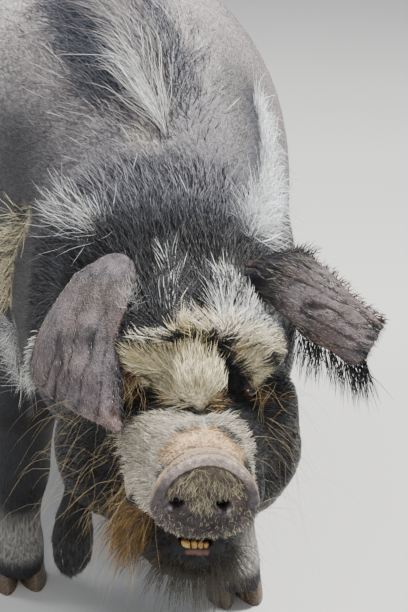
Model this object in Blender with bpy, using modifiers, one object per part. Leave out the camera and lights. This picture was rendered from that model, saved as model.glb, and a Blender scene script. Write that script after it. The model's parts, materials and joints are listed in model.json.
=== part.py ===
"""A life-size, still model of a short-legged, hairy domestic pig with its head lowered.

Metres, +Z up. The pig faces -Y and its left side is +X. The origin lies on the
ground, under the middle of the pig's outline.
"""

import itertools
import math
import random

import bmesh
import bpy
import numpy as np
from mathutils import Matrix, Vector
from mathutils.bvhtree import BVHTree

# Driving dimensions: the body
BACK_HEIGHT = 0.660
BARREL_HALF_WIDTH = 0.252
GAP = 0.0003
SOFT_VOXEL = 0.0055
SOFT_ROUNDS = 5
TRUNK_SOFT_ROUNDS = 40
FLESH_TRIANGLES = 4150

# The trunk runs from the back of the skull to the rump: y, top, bottom, half width
TRUNK = (
    (-0.450, 0.445, 0.245, 0.070),
    (-0.400, 0.492, 0.215, 0.112),
    (-0.350, 0.532, 0.204, 0.134),
    (-0.290, 0.576, 0.200, 0.148),
    (-0.230, 0.618, 0.196, 0.158),
    (-0.160, 0.647, 0.188, 0.176),
    (-0.070, BACK_HEIGHT - 0.003, 0.174, 0.210),
    (0.030, BACK_HEIGHT, 0.162, 0.238),
    (0.140, BACK_HEIGHT + 0.002, 0.152, BARREL_HALF_WIDTH),
    (0.250, BACK_HEIGHT + 0.001, 0.154, 0.250),
    (0.360, 0.655, 0.176, 0.232),
    (0.460, 0.640, 0.216, 0.203),
    (0.540, 0.610, 0.268, 0.166),
    (0.594, 0.568, 0.326, 0.120),
    (0.624, 0.524, 0.380, 0.066),
)
TRUNK_WIDEST = 0.46

# Muscle and fat over the trunk: name, (x, y, z), (radii); a form off the middle has a twin
BODY_FORMS = (
    ("shoulder", (0.112, -0.165, 0.370), (0.068, 0.105, 0.140)),
    ("ham", (0.112, 0.485, 0.370), (0.098, 0.128, 0.160)),
    ("brisket", (0.000, -0.235, 0.262), (0.100, 0.095, 0.078)),
    ("withers", (0.000, -0.160, 0.560), (0.090, 0.120, 0.085)),
    ("rump", (0.050, 0.520, 0.520), (0.095, 0.090, 0.090)),
)

# Legs: height, set back, half width across, half width along
FORE_LEG = (
    (0.400, 0.000, 0.066, 0.092),
    (0.330, 0.000, 0.060, 0.080),
    (0.265, 0.006, 0.051, 0.064),
    (0.210, 0.010, 0.043, 0.052),
    (0.165, 0.006, 0.037, 0.043),
    (0.128, 0.000, 0.036, 0.040),
    (0.102, 0.003, 0.030, 0.033),
    (0.074, 0.004, 0.028, 0.031),
    (0.052, 0.000, 0.032, 0.036),
    (0.034, -0.008, 0.032, 0.038),
    (0.018, -0.014, 0.032, 0.040),
)
HIND_LEG = (
    (0.430, -0.030, 0.084, 0.120),
    (0.345, -0.022, 0.078, 0.110),
    (0.275, -0.010, 0.063, 0.086),
    (0.220, 0.012, 0.049, 0.063),
    (0.180, 0.034, 0.039, 0.050),
    (0.148, 0.044, 0.035, 0.044),
    (0.116, 0.036, 0.029, 0.035),
    (0.082, 0.022, 0.028, 0.031),
    (0.056, 0.010, 0.032, 0.036),
    (0.036, 0.000, 0.032, 0.038),
    (0.018, -0.006, 0.032, 0.040),
)
# Each leg: profile, where it leaves the body (x, y), where its foot stands (x, y)
LEGS = {
    "foreleg_left": (FORE_LEG, (0.112, -0.185), (0.092, -0.255)),
    "foreleg_right": (FORE_LEG, (-0.112, -0.175), (-0.138, -0.165)),
    "hindleg_left": (HIND_LEG, (0.118, 0.480), (0.128, 0.430)),
    "hindleg_right": (HIND_LEG, (-0.118, 0.490), (-0.126, 0.505)),
}
# Where each leg is parted from the body: height, slope outwards, slope backwards
FORE_LEG_CUT = (0.203, 0.90, 0.16)
HIND_LEG_CUT = (0.206, 0.55, -0.29)
HOOF_TOP = 0.031
CLAW_LENGTH = 0.060
CLAW_WIDTH = 0.029
CLEFT = 0.004
CLAW_SHAPE = ((0.0, 1.00, 1.00), (0.10, 1.01, 1.02), (0.55, 0.94, 0.98), (1.0, 0.84, 0.90))
DEWCLAW_LENGTH = 0.030
DEWCLAW_RADIUS = 0.009

# The head has a frame of its own: x to its left, d back from the snout's face, z up
SNOUT_CENTRE = Vector((0.0, -0.640, 0.310))
HEAD_PIVOT = Vector((0.0, -0.420, 0.360))
HEAD_TURN = math.radians(7.5)
HEAD_TILT = math.radians(5.0)

HEAD_FORMS = (
    ("skull", (0.000, 0.205, 0.056), (0.090, 0.085, 0.092)),
    ("nape", (0.000, 0.270, 0.070), (0.092, 0.085, 0.085)),
    ("brow roll", (0.000, 0.152, 0.094), (0.078, 0.036, 0.030)),
    ("brow", (0.046, 0.150, 0.082), (0.040, 0.040, 0.026)),
    ("face pad", (0.000, 0.132, 0.062), (0.042, 0.048, 0.034)),
    ("cheekbone", (0.062, 0.170, 0.018), (0.043, 0.068, 0.050)),
    ("cheek", (0.064, 0.188, -0.012), (0.047, 0.080, 0.070)),
    ("jowl", (0.068, 0.205, -0.044), (0.054, 0.094, 0.062)),
    ("flew", (0.035, 0.078, -0.022), (0.030, 0.056, 0.030)),
    ("throat", (0.000, 0.235, -0.048), (0.088, 0.090, 0.074)),
)
# The muzzle and the lower jaw: d, half width, top, bottom
MUZZLE = (
    (0.010, 0.0445, 0.0370, -0.0400),
    (0.030, 0.0455, 0.0390, -0.0415),
    (0.055, 0.0520, 0.0440, -0.0460),
    (0.085, 0.0620, 0.0520, -0.0520),
    (0.120, 0.0780, 0.0600, -0.0600),
    (0.160, 0.0900, 0.0660, -0.0700),
)
JAW = (
    (0.010, 0.0200, -0.0430, -0.0680),
    (0.022, 0.0290, -0.0420, -0.0840),
    (0.045, 0.0390, -0.0360, -0.1050),
    (0.075, 0.0500, -0.0300, -0.1160),
    (0.115, 0.0680, -0.0200, -0.1180),
    (0.170, 0.0880, -0.0100, -0.1120),
)
# The snout's disc, from its back to its rim and its dished face
SNOUT_BACK = 0.024
SNOUT = (
    (SNOUT_BACK, 0.0435, 0.0365, -0.0390),
    (0.0170, 0.0460, 0.0390, -0.0410),
    (0.0100, 0.0480, 0.0405, -0.0420),
    (0.0045, 0.0470, 0.0395, -0.0412),
    (0.0010, 0.0430, 0.0355, -0.0375),
    (0.0005, 0.0380, 0.0305, -0.0330),
    (0.0025, 0.0300, 0.0230, -0.0260),
)
NOSTRIL = (0.0185, -0.006, 0.0058, 0.0078, 0.016)
MOUTH = ((0.025, 0.030, -0.0455), (0.034, 0.042, -0.0430), (0.045, 0.062, -0.0380),
         (0.056, 0.085, -0.0320), (0.066, 0.108, -0.0260))
MOUTH_GROOVE = 0.0032
MOUTH_GAP = ((0.0, 0.014, -0.0490), (0.0170, 0.018, 0.0060))
TEETH = 4
TOOTH = (0.0074, 0.0060, 0.0110)
TOOTH_PLACE = (0.0200, -0.0555)

EYE_CENTRE = (0.0480, 0.1330, 0.0470)
EYE_RADIUS = 0.0125
EYE_FACING = (0.56, -0.82, 0.08)
LID_THICKNESS = 0.0030
EYE_OPENING = (0.0088, 0.0050)

WATTLE = (-0.100, 0.172, -0.122)
WATTLE_RADII = (0.0205, 0.0190, 0.0470)
WATTLE_SHAPE = ((0.0, 0.45), (0.22, 0.62), (0.45, 0.88), (0.65, 1.00), (0.80, 0.94), (0.91, 0.70),
                (0.98, 0.34), (1.0, 0.12))

# Ears: points of the inner and outer margin from the root to the tip, and the cup's depth
EAR_RIGHT_INNER = ((-0.046, 0.198, 0.130), (-0.056, 0.172, 0.124), (-0.064, 0.142, 0.100),
                   (-0.067, 0.116, 0.073), (-0.067, 0.094, 0.049), (-0.067, 0.076, 0.030))
EAR_RIGHT_OUTER = ((-0.078, 0.240, 0.118), (-0.114, 0.226, 0.116), (-0.148, 0.196, 0.080),
                   (-0.157, 0.174, 0.048), (-0.125, 0.142, 0.034), (-0.072, 0.084, 0.027))
EAR_LEFT_INNER = ((0.048, 0.190, 0.124), (0.074, 0.166, 0.118), (0.098, 0.140, 0.100),
                  (0.120, 0.118, 0.095), (0.138, 0.102, 0.088), (0.150, 0.100, 0.096))
EAR_LEFT_OUTER = ((0.070, 0.236, 0.124), (0.096, 0.212, 0.158), (0.122, 0.182, 0.152),
                  (0.142, 0.148, 0.139), (0.158, 0.120, 0.131), (0.165, 0.110, 0.124))
EAR_CUP = 0.020
EAR_THICKNESS = 0.0055

TAIL = ((0.000, 0.575, 0.548), (0.000, 0.612, 0.540), (0.006, 0.633, 0.506),
        (0.016, 0.636, 0.466), (0.019, 0.628, 0.426), (0.010, 0.621, 0.391))
TAIL_RADII = (0.024, 0.019, 0.015, 0.012, 0.0095, 0.007)

# The long coat is built as flat, tapered locks that overlap in fields. Each field has the
# piece it grows from, the frame it is given in, the sides it is built on, the corners of its
# first row and of its last row of roots, the lie at each corner, the locks along a row and
# the rows, and the locks' length, width, lift and droop.
LOCK_ROOT = 0.0050
LOCK_THICKNESS = 0.0040
LOCK_SHAPE = (0.72, 1.00, 0.94, 0.62, 0.12)
LOCK_JITTER = 0.12
LOCK_BEND = 0.15
LOCK_RISE = 1.25
LOCK_SEED = 11
LOCK_FIELDS = (
    ("head", "head", (1,), ((-0.060, 0.142, 0.110), (0.070, 0.142, 0.110),
                            (-0.034, 0.245, 0.160), (0.036, 0.245, 0.160)),
     ((-0.90, 0.40, 0.5), (0.95, 0.35, 0.4), (-0.25, 0.95, 0.2), (0.30, 0.90, 0.2)),
     (5, 5), 0.052, 0.0200, 0.009, 0.0),
    ("head", "head", (1,), ((-0.084, 0.142, 0.086), (-0.012, 0.119, 0.100),
                            (-0.084, 0.142, 0.086), (-0.012, 0.119, 0.100)),
     ((-0.90, 0.10, -0.4), (-0.60, -0.10, 0.3), (-0.90, 0.10, -0.4), (-0.60, -0.10, 0.3)),
     (5, 1), 0.036, 0.0150, 0.006, 0.0),
    ("head", "head", (1,), ((0.012, 0.119, 0.100), (0.076, 0.136, 0.090),
                            (0.012, 0.119, 0.100), (0.076, 0.136, 0.090)),
     ((0.60, -0.10, 0.3), (0.80, 0.10, -0.6), (0.60, -0.10, 0.3), (0.80, 0.10, -0.6)),
     (5, 1), 0.038, 0.0150, 0.006, 0.0),
    ("head", "head", (1, -1), ((0.088, 0.112, 0.002), (0.112, 0.215, 0.004),
                               (0.060, 0.082, -0.078), (0.104, 0.195, -0.076)),
     ((0.30, 0.55, -0.7), (0.10, 0.75, -0.6), (0.30, 0.45, -0.85), (0.20, 0.55, -0.8)),
     (4, 3), 0.056, 0.0210, 0.010, 0.1),
    ("head", "head", (1, -1), ((0.016, 0.036, -0.092), (0.036, 0.080, -0.106),
                               (0.016, 0.036, -0.092), (0.036, 0.080, -0.106)),
     ((0.20, 0.40, -0.8), (0.30, 0.60, -0.7), (0.20, 0.40, -0.8), (0.30, 0.60, -0.7)),
     (3, 1), 0.036, 0.0150, 0.008, 0.2),
    ("neck", "body", (1,), ((-0.016, -0.346, 0.530), (0.016, -0.346, 0.530),
                            (-0.018, -0.292, 0.575), (0.014, -0.292, 0.575)),
     ((-0.30, 0.90, 0.5), (0.20, 0.90, 0.5), (-0.40, 0.90, 0.5), (0.15, 0.90, 0.5)),
     (2, 3), 0.076, 0.0270, 0.012, 0.0),
    ("neck", "body", (1, -1), ((0.140, -0.340, 0.350), (0.092, -0.340, 0.500),
                               (0.140, -0.322, 0.350), (0.095, -0.322, 0.520)),
     ((0.30, 0.60, 0.5), (0.20, 0.70, 0.6), (0.30, 0.60, 0.5), (0.20, 0.70, 0.6)),
     (4, 1), 0.062, 0.0240, 0.009, 0.0),
    ("torso", "body", (1,), ((-0.018, -0.264, 0.600), (0.016, -0.264, 0.600),
                             (-0.024, -0.060, 0.655), (0.014, -0.060, 0.655)),
     ((-0.45, 0.90, 0.3), (0.20, 0.90, 0.3), (-0.35, 0.90, 0.1), (0.20, 0.90, 0.1)),
     (2, 9), 0.082, 0.0280, 0.014, 0.0),
    ("torso", "body", (1, -1), ((0.153, -0.278, 0.355), (0.100, -0.246, 0.555),
                                (0.160, -0.250, 0.365), (0.116, -0.220, 0.560)),
     ((0.30, 0.40, 0.80), (0.10, 0.60, 0.7), (0.30, 0.40, 0.80), (0.10, 0.60, 0.7)),
     (6, 2), 0.068, 0.0260, 0.010, 0.0),
    ("ear_left", "head", (1,), ((0.108, 0.131, 0.099), (0.136, 0.106, 0.092),
                                (0.108, 0.131, 0.099), (0.136, 0.106, 0.092)),
     ((0.10, -0.20, -1.0), (0.30, -0.10, -1.0), (0.10, -0.20, -1.0), (0.30, -0.10, -1.0)),
     (5, 1), 0.030, 0.0110, 0.003, 0.9),
    ("tail", "body", (1,), ((0.021, 0.628, 0.432), (0.014, 0.636, 0.432),
                            (0.013, 0.622, 0.398), (0.007, 0.628, 0.398)),
     ((0.35, 0.1, -1.2), (-0.30, 0.3, -1.2), (0.25, 0.0, -1.2), (-0.35, 0.1, -1.2)),
     (3, 2), 0.052, 0.0120, 0.004, 1.0),
)

COLOURS = {
    "coat_black": (0.030, 0.029, 0.032),
    "coat_grey": (0.105, 0.098, 0.104),
    "ear_skin": (0.095, 0.078, 0.080),
    "snout_skin": (0.150, 0.120, 0.110),
    "eye": (0.020, 0.012, 0.008),
    "hoof": (0.170, 0.140, 0.110),
}


def clear_scene():
    for obj in list(bpy.data.objects):
        bpy.data.objects.remove(obj, do_unlink=True)


def new_collection(name):
    made = bpy.data.collections.new(name)
    bpy.context.scene.collection.children.link(made)
    return made


def new_material(name, roughness):
    material = bpy.data.materials.new(name)
    material.use_nodes = True
    shader = material.node_tree.nodes["Principled BSDF"]
    shader.inputs["Base Color"].default_value = (*COLOURS[name], 1.0)
    shader.inputs["Roughness"].default_value = roughness
    material.diffuse_color = (*COLOURS[name], 1.0)
    return material


def new_object(name, mesh, collection):
    obj = bpy.data.objects.new(name, mesh)
    collection.objects.link(obj)
    return obj


def head_frame():
    """The matrix from the head's own frame to the pig's."""
    turn = Matrix.Rotation(-HEAD_TURN, 4, "Z") @ Matrix.Rotation(HEAD_TILT, 4, "Y")
    pivot = Matrix.Translation(HEAD_PIVOT)
    return pivot @ turn @ pivot.inverted() @ Matrix.Translation(SNOUT_CENTRE)


HEAD = head_frame()
BODY = Matrix.Identity(4)


def rows_between(rows, count):
    """More rows on a smooth curve through the given ones."""
    points = np.array(rows, float)
    ends = np.vstack([2 * points[0] - points[1], points, 2 * points[-1] - points[-2]])
    made = []
    for step in np.linspace(0, len(points) - 1, count):
        i = min(int(step), len(points) - 2)
        t = step - i
        a, b, c, d = ends[i : i + 4]
        made.append(0.5 * (2 * b + (c - a) * t + (2 * a - 5 * b + 4 * c - d) * t * t
                           + (3 * b - a - 3 * c + d) * t ** 3))
    return np.array(made)


def round_section(half_width, up, down, sides, fullness=2.2, arch=None):
    """Points (across, up) of a rounded section whose upper and lower halves differ."""
    points = []
    for i in range(sides):
        angle = 2 * math.pi * i / sides
        c, s = math.cos(angle), math.sin(angle)
        power = 2 / (arch if arch and s > 0 else fullness)
        across = math.copysign(abs(c) ** power, c) * half_width
        rise = math.copysign(abs(s) ** power, s) * (up if s > 0 else down)
        points.append((across, rise))
    return points


def loft(mesh, rings, frame=BODY):
    """A closed tube through rings of points, capped at both ends."""
    made = [[mesh.verts.new(frame @ Vector(p)) for p in ring] for ring in rings]
    sides = len(made[0])
    for near, far in zip(made, made[1:]):
        for i in range(sides):
            j = (i + 1) % sides
            mesh.faces.new((near[i], near[j], far[j], far[i]))
    mesh.faces.new(made[0][::-1])
    mesh.faces.new(made[-1])


def trunk_rings(count=34, sides=36):
    rings = []
    for y, top, bottom, half in rows_between(TRUNK, count):
        middle = bottom + (top - bottom) * TRUNK_WIDEST
        section = round_section(half, top - middle, middle - bottom, sides)
        rings.append([(x, y, middle + z) for x, z in section])
    return rings


def leg_rings(profile, top, foot, count=22, sides=20):
    rings = []
    high, low = profile[0][0], profile[-1][0]
    for z, back, half_x, half_y in rows_between(profile, count):
        lean = (high - z) / (high - low)
        x = top[0] + (foot[0] - top[0]) * lean
        y = top[1] + (foot[1] - top[1]) * lean + back
        rings.append([(x + a, y + b, z) for a, b in
                      round_section(half_x, half_y, half_y, sides, 2.1)])
    return rings


def section_rings(rows, count, sides, fullness, arch=None, widest=0.5):
    """Rings of the muzzle, the jaw or the snout, in the head's frame."""
    rings = []
    for d, half, top, bottom in rows_between(rows, count):
        middle = bottom + (top - bottom) * widest
        section = round_section(half, top - middle, middle - bottom, sides, fullness, arch)
        rings.append([(x, d, middle + z) for x, z in section])
    return rings


def ball(mesh, centre, radii, frame=BODY, fineness=20):
    place = frame @ Matrix.Translation(centre) @ Matrix.Diagonal((*radii, 1.0))
    bmesh.ops.create_uvsphere(mesh, u_segments=fineness, v_segments=fineness // 2 + 2,
                              radius=1.0, matrix=place)


def twins(forms):
    """Each form, and its mirror image where it is off the middle."""
    for name, centre, radii in forms:
        yield centre, radii
        if centre[0]:
            yield (-centre[0], *centre[1:]), radii


def mesh_object(name, build, collection):
    """An object from a function that fills a bmesh, with its faces pointing out."""
    made = bmesh.new()
    build(made)
    bmesh.ops.recalc_face_normals(made, faces=made.faces)
    mesh = bpy.data.meshes.new(name)
    made.to_mesh(mesh)
    made.free()
    return new_object(name, mesh, collection)


def applied(obj):
    """The object with its modifiers made real."""
    graph = bpy.context.evaluated_depsgraph_get()
    mesh = bpy.data.meshes.new_from_object(obj.evaluated_get(graph))
    obj.modifiers.clear()
    obj.data = mesh
    return obj


def build_soft_body(mesh):
    loft(mesh, trunk_rings())
    for profile, top, foot in LEGS.values():
        loft(mesh, leg_rings(profile, top, foot))
    for centre, radii in twins(BODY_FORMS):
        ball(mesh, centre, radii)
    for centre, radii in twins(HEAD_FORMS):
        ball(mesh, centre, radii, HEAD)
    loft(mesh, section_rings(MUZZLE, 12, 28, 2.2), HEAD)
    loft(mesh, section_rings(JAW, 12, 28, 2.2), HEAD)


def soften(obj):
    """Merges the overlapping forms into one skin and smooths the creases between them."""
    remesh = obj.modifiers.new("one skin", "REMESH")
    remesh.mode = "VOXEL"
    remesh.voxel_size = SOFT_VOXEL
    applied(obj)
    trunk = obj.vertex_groups.new(name="trunk")
    for vert in obj.data.vertices:
        share = min(1.0, max(0.0, (vert.co.y + 0.46) / 0.12)) * min(1.0, vert.co.z / 0.25)
        trunk.add([vert.index], share * share, "REPLACE")
    for group, rounds in (("", SOFT_ROUNDS), ("trunk", TRUNK_SOFT_ROUNDS)):
        smooth = obj.modifiers.new("soft creases", "SMOOTH")
        smooth.factor = 0.5
        smooth.iterations = rounds
        smooth.vertex_group = group
    thin = obj.modifiers.new("fewer faces", "DECIMATE")
    thin.ratio = FLESH_TRIANGLES / (2 * len(obj.data.polygons))
    applied(obj)
    obj.vertex_groups.clear()
    keep_largest(obj)


def combine(obj, others, operation):
    """One Boolean between the object and every object of a collection, which is then emptied.

    The manifold solver is used because the exact one loses whole pieces at cuts this thin.
    """
    boolean = obj.modifiers.new(operation.lower(), "BOOLEAN")
    boolean.operation = operation
    boolean.operand_type = "COLLECTION"
    boolean.collection = others
    boolean.solver = "MANIFOLD"
    applied(obj)
    for other in list(others.objects):
        bpy.data.objects.remove(other, do_unlink=True)


def ear_rings(inner, outer, across, along=8):
    """Closed sections from the root to the tip: the outer face and the cupped face."""
    inner_line = rows_between(inner, along)
    outer_line = rows_between(outer, along)
    upward = (0, -1, 1)
    rings = []
    for i, (a, b) in enumerate(zip(inner_line, outer_line)):
        reach = i / (along - 1)
        ahead = inner_line[min(i + 1, along - 1)] + outer_line[min(i + 1, along - 1)]
        behind = inner_line[max(i - 1, 0)] + outer_line[max(i - 1, 0)]
        out = np.cross(b - a, ahead - behind)
        out /= np.linalg.norm(out)
        if np.dot(out, upward) < 0:
            out = -out
        upward = out
        bulge = EAR_CUP * (1.25 - reach) * min(1.0, np.linalg.norm(b - a) / 0.06)
        thick = EAR_THICKNESS * (1.3 - 0.6 * reach)
        face, back = [], []
        for s in np.linspace(0, 1, across):
            arch = math.sin(math.pi * s) ** 0.8 if 0 < s < 1 else 0.0
            edge = 0.45 + 0.55 * arch
            middle = a + (b - a) * s + out * bulge * arch
            face.append(middle + out * thick * edge / 2)
            back.append(middle - out * thick * edge / 2)
        rings.append(face + back[::-1])
    return rings


def build_ear(mesh, inner, outer, across=7):
    """A cupped ear, split into triangles that run the same way on its two faces."""
    loft(mesh, ear_rings(inner, outer, across), HEAD)
    front = [face for i, face in enumerate(list(mesh.faces)[:-2]) if i % (2 * across) < across - 1]
    bmesh.ops.triangulate(mesh, faces=front, quad_method="FIXED")
    rest = [face for face in mesh.faces if len(face.verts) > 3]
    bmesh.ops.triangulate(mesh, faces=rest, quad_method="ALTERNATE")


def build_tail(collection):
    curve = bpy.data.curves.new("tail", "CURVE")
    curve.dimensions = "3D"
    curve.bevel_depth = 1.0
    curve.bevel_resolution = 2
    curve.use_fill_caps = True
    line = rows_between(TAIL, 11)
    radii = rows_between([(r,) for r in TAIL_RADII], 11)
    spline = curve.splines.new("POLY")
    spline.points.add(len(line) - 1)
    for point, place, radius in zip(spline.points, line, radii):
        point.co = (*place, 1.0)
        point.radius = radius[0]
    guide = new_object("tail guide", curve, collection)
    graph = bpy.context.evaluated_depsgraph_get()
    graph.update()
    mesh = bpy.data.meshes.new_from_object(guide.evaluated_get(graph))
    bpy.data.objects.remove(guide, do_unlink=True)
    weld(mesh)
    return new_object("tail", mesh, collection)


def weld(mesh):
    made = bmesh.new()
    made.from_mesh(mesh)
    bmesh.ops.remove_doubles(made, verts=made.verts, dist=1e-5)
    bmesh.ops.recalc_face_normals(made, faces=made.faces)
    made.to_mesh(mesh)
    made.free()


def side_frame(side):
    return HEAD @ Matrix.Diagonal((side, 1, 1, 1))


def eye_frame(side):
    """A frame at an eye's centre with its Z along the gaze."""
    gaze = Vector(EYE_FACING).normalized()
    across = Vector((0, 0, 1)).cross(gaze).normalized()
    up = gaze.cross(across)
    turn = Matrix((across, up, gaze)).transposed().to_4x4()
    return side_frame(side) @ Matrix.Translation(EYE_CENTRE) @ turn


def add_features(flesh, helpers):
    """Eyelids and dewclaws join the flesh."""
    lid = EYE_RADIUS + LID_THICKNESS
    for side in (1, -1):
        mesh_object("lids", lambda m, s=side: ball(m, (0, 0, 0), (lid, lid, lid), eye_frame(s), 14),
                    helpers)
        for profile, top, foot in LEGS.values():
            mesh_object("dewclaw", lambda m, f=foot, s=side: build_dewclaw(m, f, s), helpers)
    combine(flesh, helpers, "UNION")


def grown_copy(obj, name, collection):
    """A copy whose surface lies outside the object's by the gap."""
    mesh = obj.data.copy()
    for vert, normal in zip(mesh.vertices, [v.normal.copy() for v in mesh.vertices]):
        vert.co += normal * GAP
    return new_object(name, mesh, collection)


def set_apart(flesh, pig, helpers, materials):
    """Ears, wattle and tail: their own pieces, each seated on the flesh with the gap between."""
    made = {
        "ear_right": mesh_object("ear_right", lambda m: build_ear(
            m, EAR_RIGHT_INNER, EAR_RIGHT_OUTER), pig),
        "ear_left": mesh_object("ear_left", lambda m: build_ear(
            m, EAR_LEFT_INNER, EAR_LEFT_OUTER), pig),
        "wattle_right": mesh_object("wattle_right", build_wattle, pig),
        "tail": build_tail(pig),
    }
    for obj in made.values():
        grown_copy(flesh, "seat", helpers)
        combine(obj, helpers, "DIFFERENCE")
        keep_largest(obj)
        colour(obj, materials["coat_grey" if obj.name == "tail" else "ear_skin"])
    return made


def colour(obj, material):
    obj.data.materials.clear()
    obj.data.materials.append(material)


def keep_largest(obj):
    """Drops every closed surface but the largest."""
    materials = list(obj.data.materials)
    pieces = sorted(split_pieces(obj), key=lambda p: -abs(p[0]))
    obj.data = pieces[0][2]
    for material in materials[:1]:
        obj.data.materials.append(material)


def build_wattle(mesh):
    """A hanging tassel of skin, which swells towards its lower end."""
    x, d, z = WATTLE
    rx, rd, rz = WATTLE_RADII
    rings = []
    for t, swell in WATTLE_SHAPE:
        height = z + rz * 1.35 - t * rz * 2.35
        rings.append([(x + a, d + b, height) for a, b in
                      round_section(rx * swell, rd * swell, rd * swell, 10, 2.0)])
    loft(mesh, rings, HEAD)


def build_dewclaw(mesh, foot, side):
    """One of the two small claws behind the fetlock."""
    x, y = foot[0] + side * 0.017, foot[1] + 0.020
    rings = []
    for t in np.linspace(0, 1, 3):
        radius = DEWCLAW_RADIUS * (1 - 0.65 * t)
        rings.append([(x + side * 0.004 * t + a, y + 0.014 * t + b, 0.062 - DEWCLAW_LENGTH * t)
                      for a, b in round_section(radius, radius, radius, 6, 2.0)])
    loft(mesh, rings)


def place_box(mesh, centre, turn, sizes, frame=BODY):
    place = frame @ Matrix.Translation(centre) @ turn @ Matrix.Diagonal((*sizes, 1.0))
    bmesh.ops.create_cube(mesh, size=1.0, matrix=place)


# The cuts behind the neck and behind the head: frame, centre, turn, sizes
NECK_END = (BODY, (0, -0.290, 0.450), Matrix.Rotation(math.radians(-12), 4, "X"), (0.60, GAP, 0.560))
HEAD_END = (HEAD, (0, 0.262, 0.060), Matrix.Rotation(math.radians(-10), 4, "X"), (0.50, GAP, 0.460))


def thin_cuts():
    """The flat cuts, as thin as the gap, that part the flesh: frame, centre, turn, sizes."""
    yield NECK_END
    yield HEAD_END
    for name, (profile, top, foot) in LEGS.items():
        side = math.copysign(1, top[0])
        height, lean, pitch = FORE_LEG_CUT if profile is FORE_LEG else HIND_LEG_CUT
        turn = facing((-side * lean, pitch, 1.0))
        yield BODY, (top[0], top[1], height), turn, (0.200, 0.230, GAP)


def facing(direction):
    """The turn that points Z along a direction."""
    return Vector(direction).to_track_quat("Z", "Y").to_matrix().to_4x4()


def part_flesh(flesh, helpers):
    """Ends the muzzle and the legs flat, opens the mouth and parts the flesh with thin cuts."""
    mesh_object("muzzle front", lambda m: place_box(
        m, (0, SNOUT_BACK + GAP - 0.03, 0.024), BODY, (0.16, 0.06, 0.14), HEAD), helpers)
    mesh_object("mouth gap", lambda m: ball(m, *MOUTH_GAP, HEAD, 12), helpers)
    combine(flesh, helpers, "DIFFERENCE")
    mesh_object("ground", lambda m: place_box(
        m, (0, 0, HOOF_TOP + GAP - 0.05), BODY, (1.0, 2.0, 0.1)), helpers)
    combine(flesh, helpers, "DIFFERENCE")
    for frame, centre, turn, sizes in thin_cuts():
        mesh_object("cut", lambda m, c=(centre, turn, sizes, frame): place_box(m, *c), helpers)
        combine(flesh, helpers, "DIFFERENCE")


def carve_head(head, helpers):
    """Eye sockets behind almond openings, and the mouth's line."""
    for side in (1, -1):
        mesh_object("opening", lambda m, s=side: ball(m, (0, 0, EYE_RADIUS), (*EYE_OPENING, 0.012),
                                                      eye_frame(s), 16), helpers)
    combine(head, helpers, "DIFFERENCE")
    socket = EYE_RADIUS + GAP
    for side in (1, -1):
        mesh_object("socket", lambda m, s=side: ball(m, (0, 0, 0), (socket,) * 3, eye_frame(s), 16),
                    helpers)
    combine(head, helpers, "DIFFERENCE")
    mouth_groove(head, helpers)
    combine(head, helpers, "DIFFERENCE")


def mouth_groove(head, helpers):
    """A tube on each side that follows the mouth's line over the surface."""
    surface = surface_of(head)
    for side in (1, -1):
        line = [Vector((side * x, d, z)) for x, d, z in rows_between(MOUTH, 10)]
        rings = []
        for i, point in enumerate(line):
            place = HEAD.inverted() @ surface.find_nearest(HEAD @ point)[0]
            ahead = line[min(i + 1, len(line) - 1)] - line[max(i - 1, 0)]
            out = Vector((ahead.y, -ahead.x, 0)).normalized()
            radius = MOUTH_GROOVE * (1.0 - 0.55 * (i / (len(line) - 1)) ** 3)
            rings.append([place + out * radius * math.cos(a) * 1.8
                          + Vector((0, 0, 1)) * radius * math.sin(a)
                          for a in (k * math.pi / 4 for k in range(8))])
        mesh_object("mouth", lambda m, r=rings: loft(m, r, HEAD), helpers)


def surface_of(obj):
    mesh = bmesh.new()
    mesh.from_mesh(obj.data)
    tree = BVHTree.FromBMesh(mesh)
    mesh.free()
    return tree


def split_pieces(obj):
    """The closed surfaces of a mesh, each as (volume, centre, vertices, faces)."""
    mesh = bmesh.new()
    mesh.from_mesh(obj.data)
    mesh.verts.ensure_lookup_table()
    group = [-1] * len(mesh.verts)
    count = 0
    for start in mesh.verts:
        if group[start.index] >= 0:
            continue
        group[start.index] = count
        stack = [start]
        while stack:
            for edge in stack.pop().link_edges:
                for vert in edge.verts:
                    if group[vert.index] < 0:
                        group[vert.index] = count
                        stack.append(vert)
        count += 1
    pieces = []
    for number in range(count):
        one = mesh.copy()
        one.verts.ensure_lookup_table()
        spare = [v for v in one.verts if group[v.index] != number]
        bmesh.ops.delete(one, geom=spare, context="VERTS")
        centre = sum((v.co for v in one.verts), Vector()) / len(one.verts)
        made = bpy.data.meshes.new("piece")
        one.to_mesh(made)
        pieces.append((one.calc_volume(), centre, made))
        one.free()
    mesh.free()
    return pieces


def name_pieces(flesh, places, pig, materials):
    """Each closed surface takes the name whose place it is nearest to; scraps are dropped."""
    found = {}
    for volume, centre, mesh in sorted(split_pieces(flesh), key=lambda p: -abs(p[0])):
        name = min(places, key=lambda n: (places[n] - centre).length)
        if name in found:
            continue
        found[name] = new_object(name, mesh, pig)
        colour(found[name], materials["coat_grey" if name in ("torso", "neck") else "coat_black"])
    bpy.data.objects.remove(flesh, do_unlink=True)
    return found


def piece_places():
    places = {
        "torso": Vector((0, 0.12, 0.42)),
        "neck": Vector((0, -0.34, 0.38)),
        "head": HEAD @ Vector((0, 0.13, 0.0)),
    }
    for name, (profile, top, foot) in LEGS.items():
        places[name] = Vector((foot[0], foot[1], 0.13))
    return places


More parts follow.
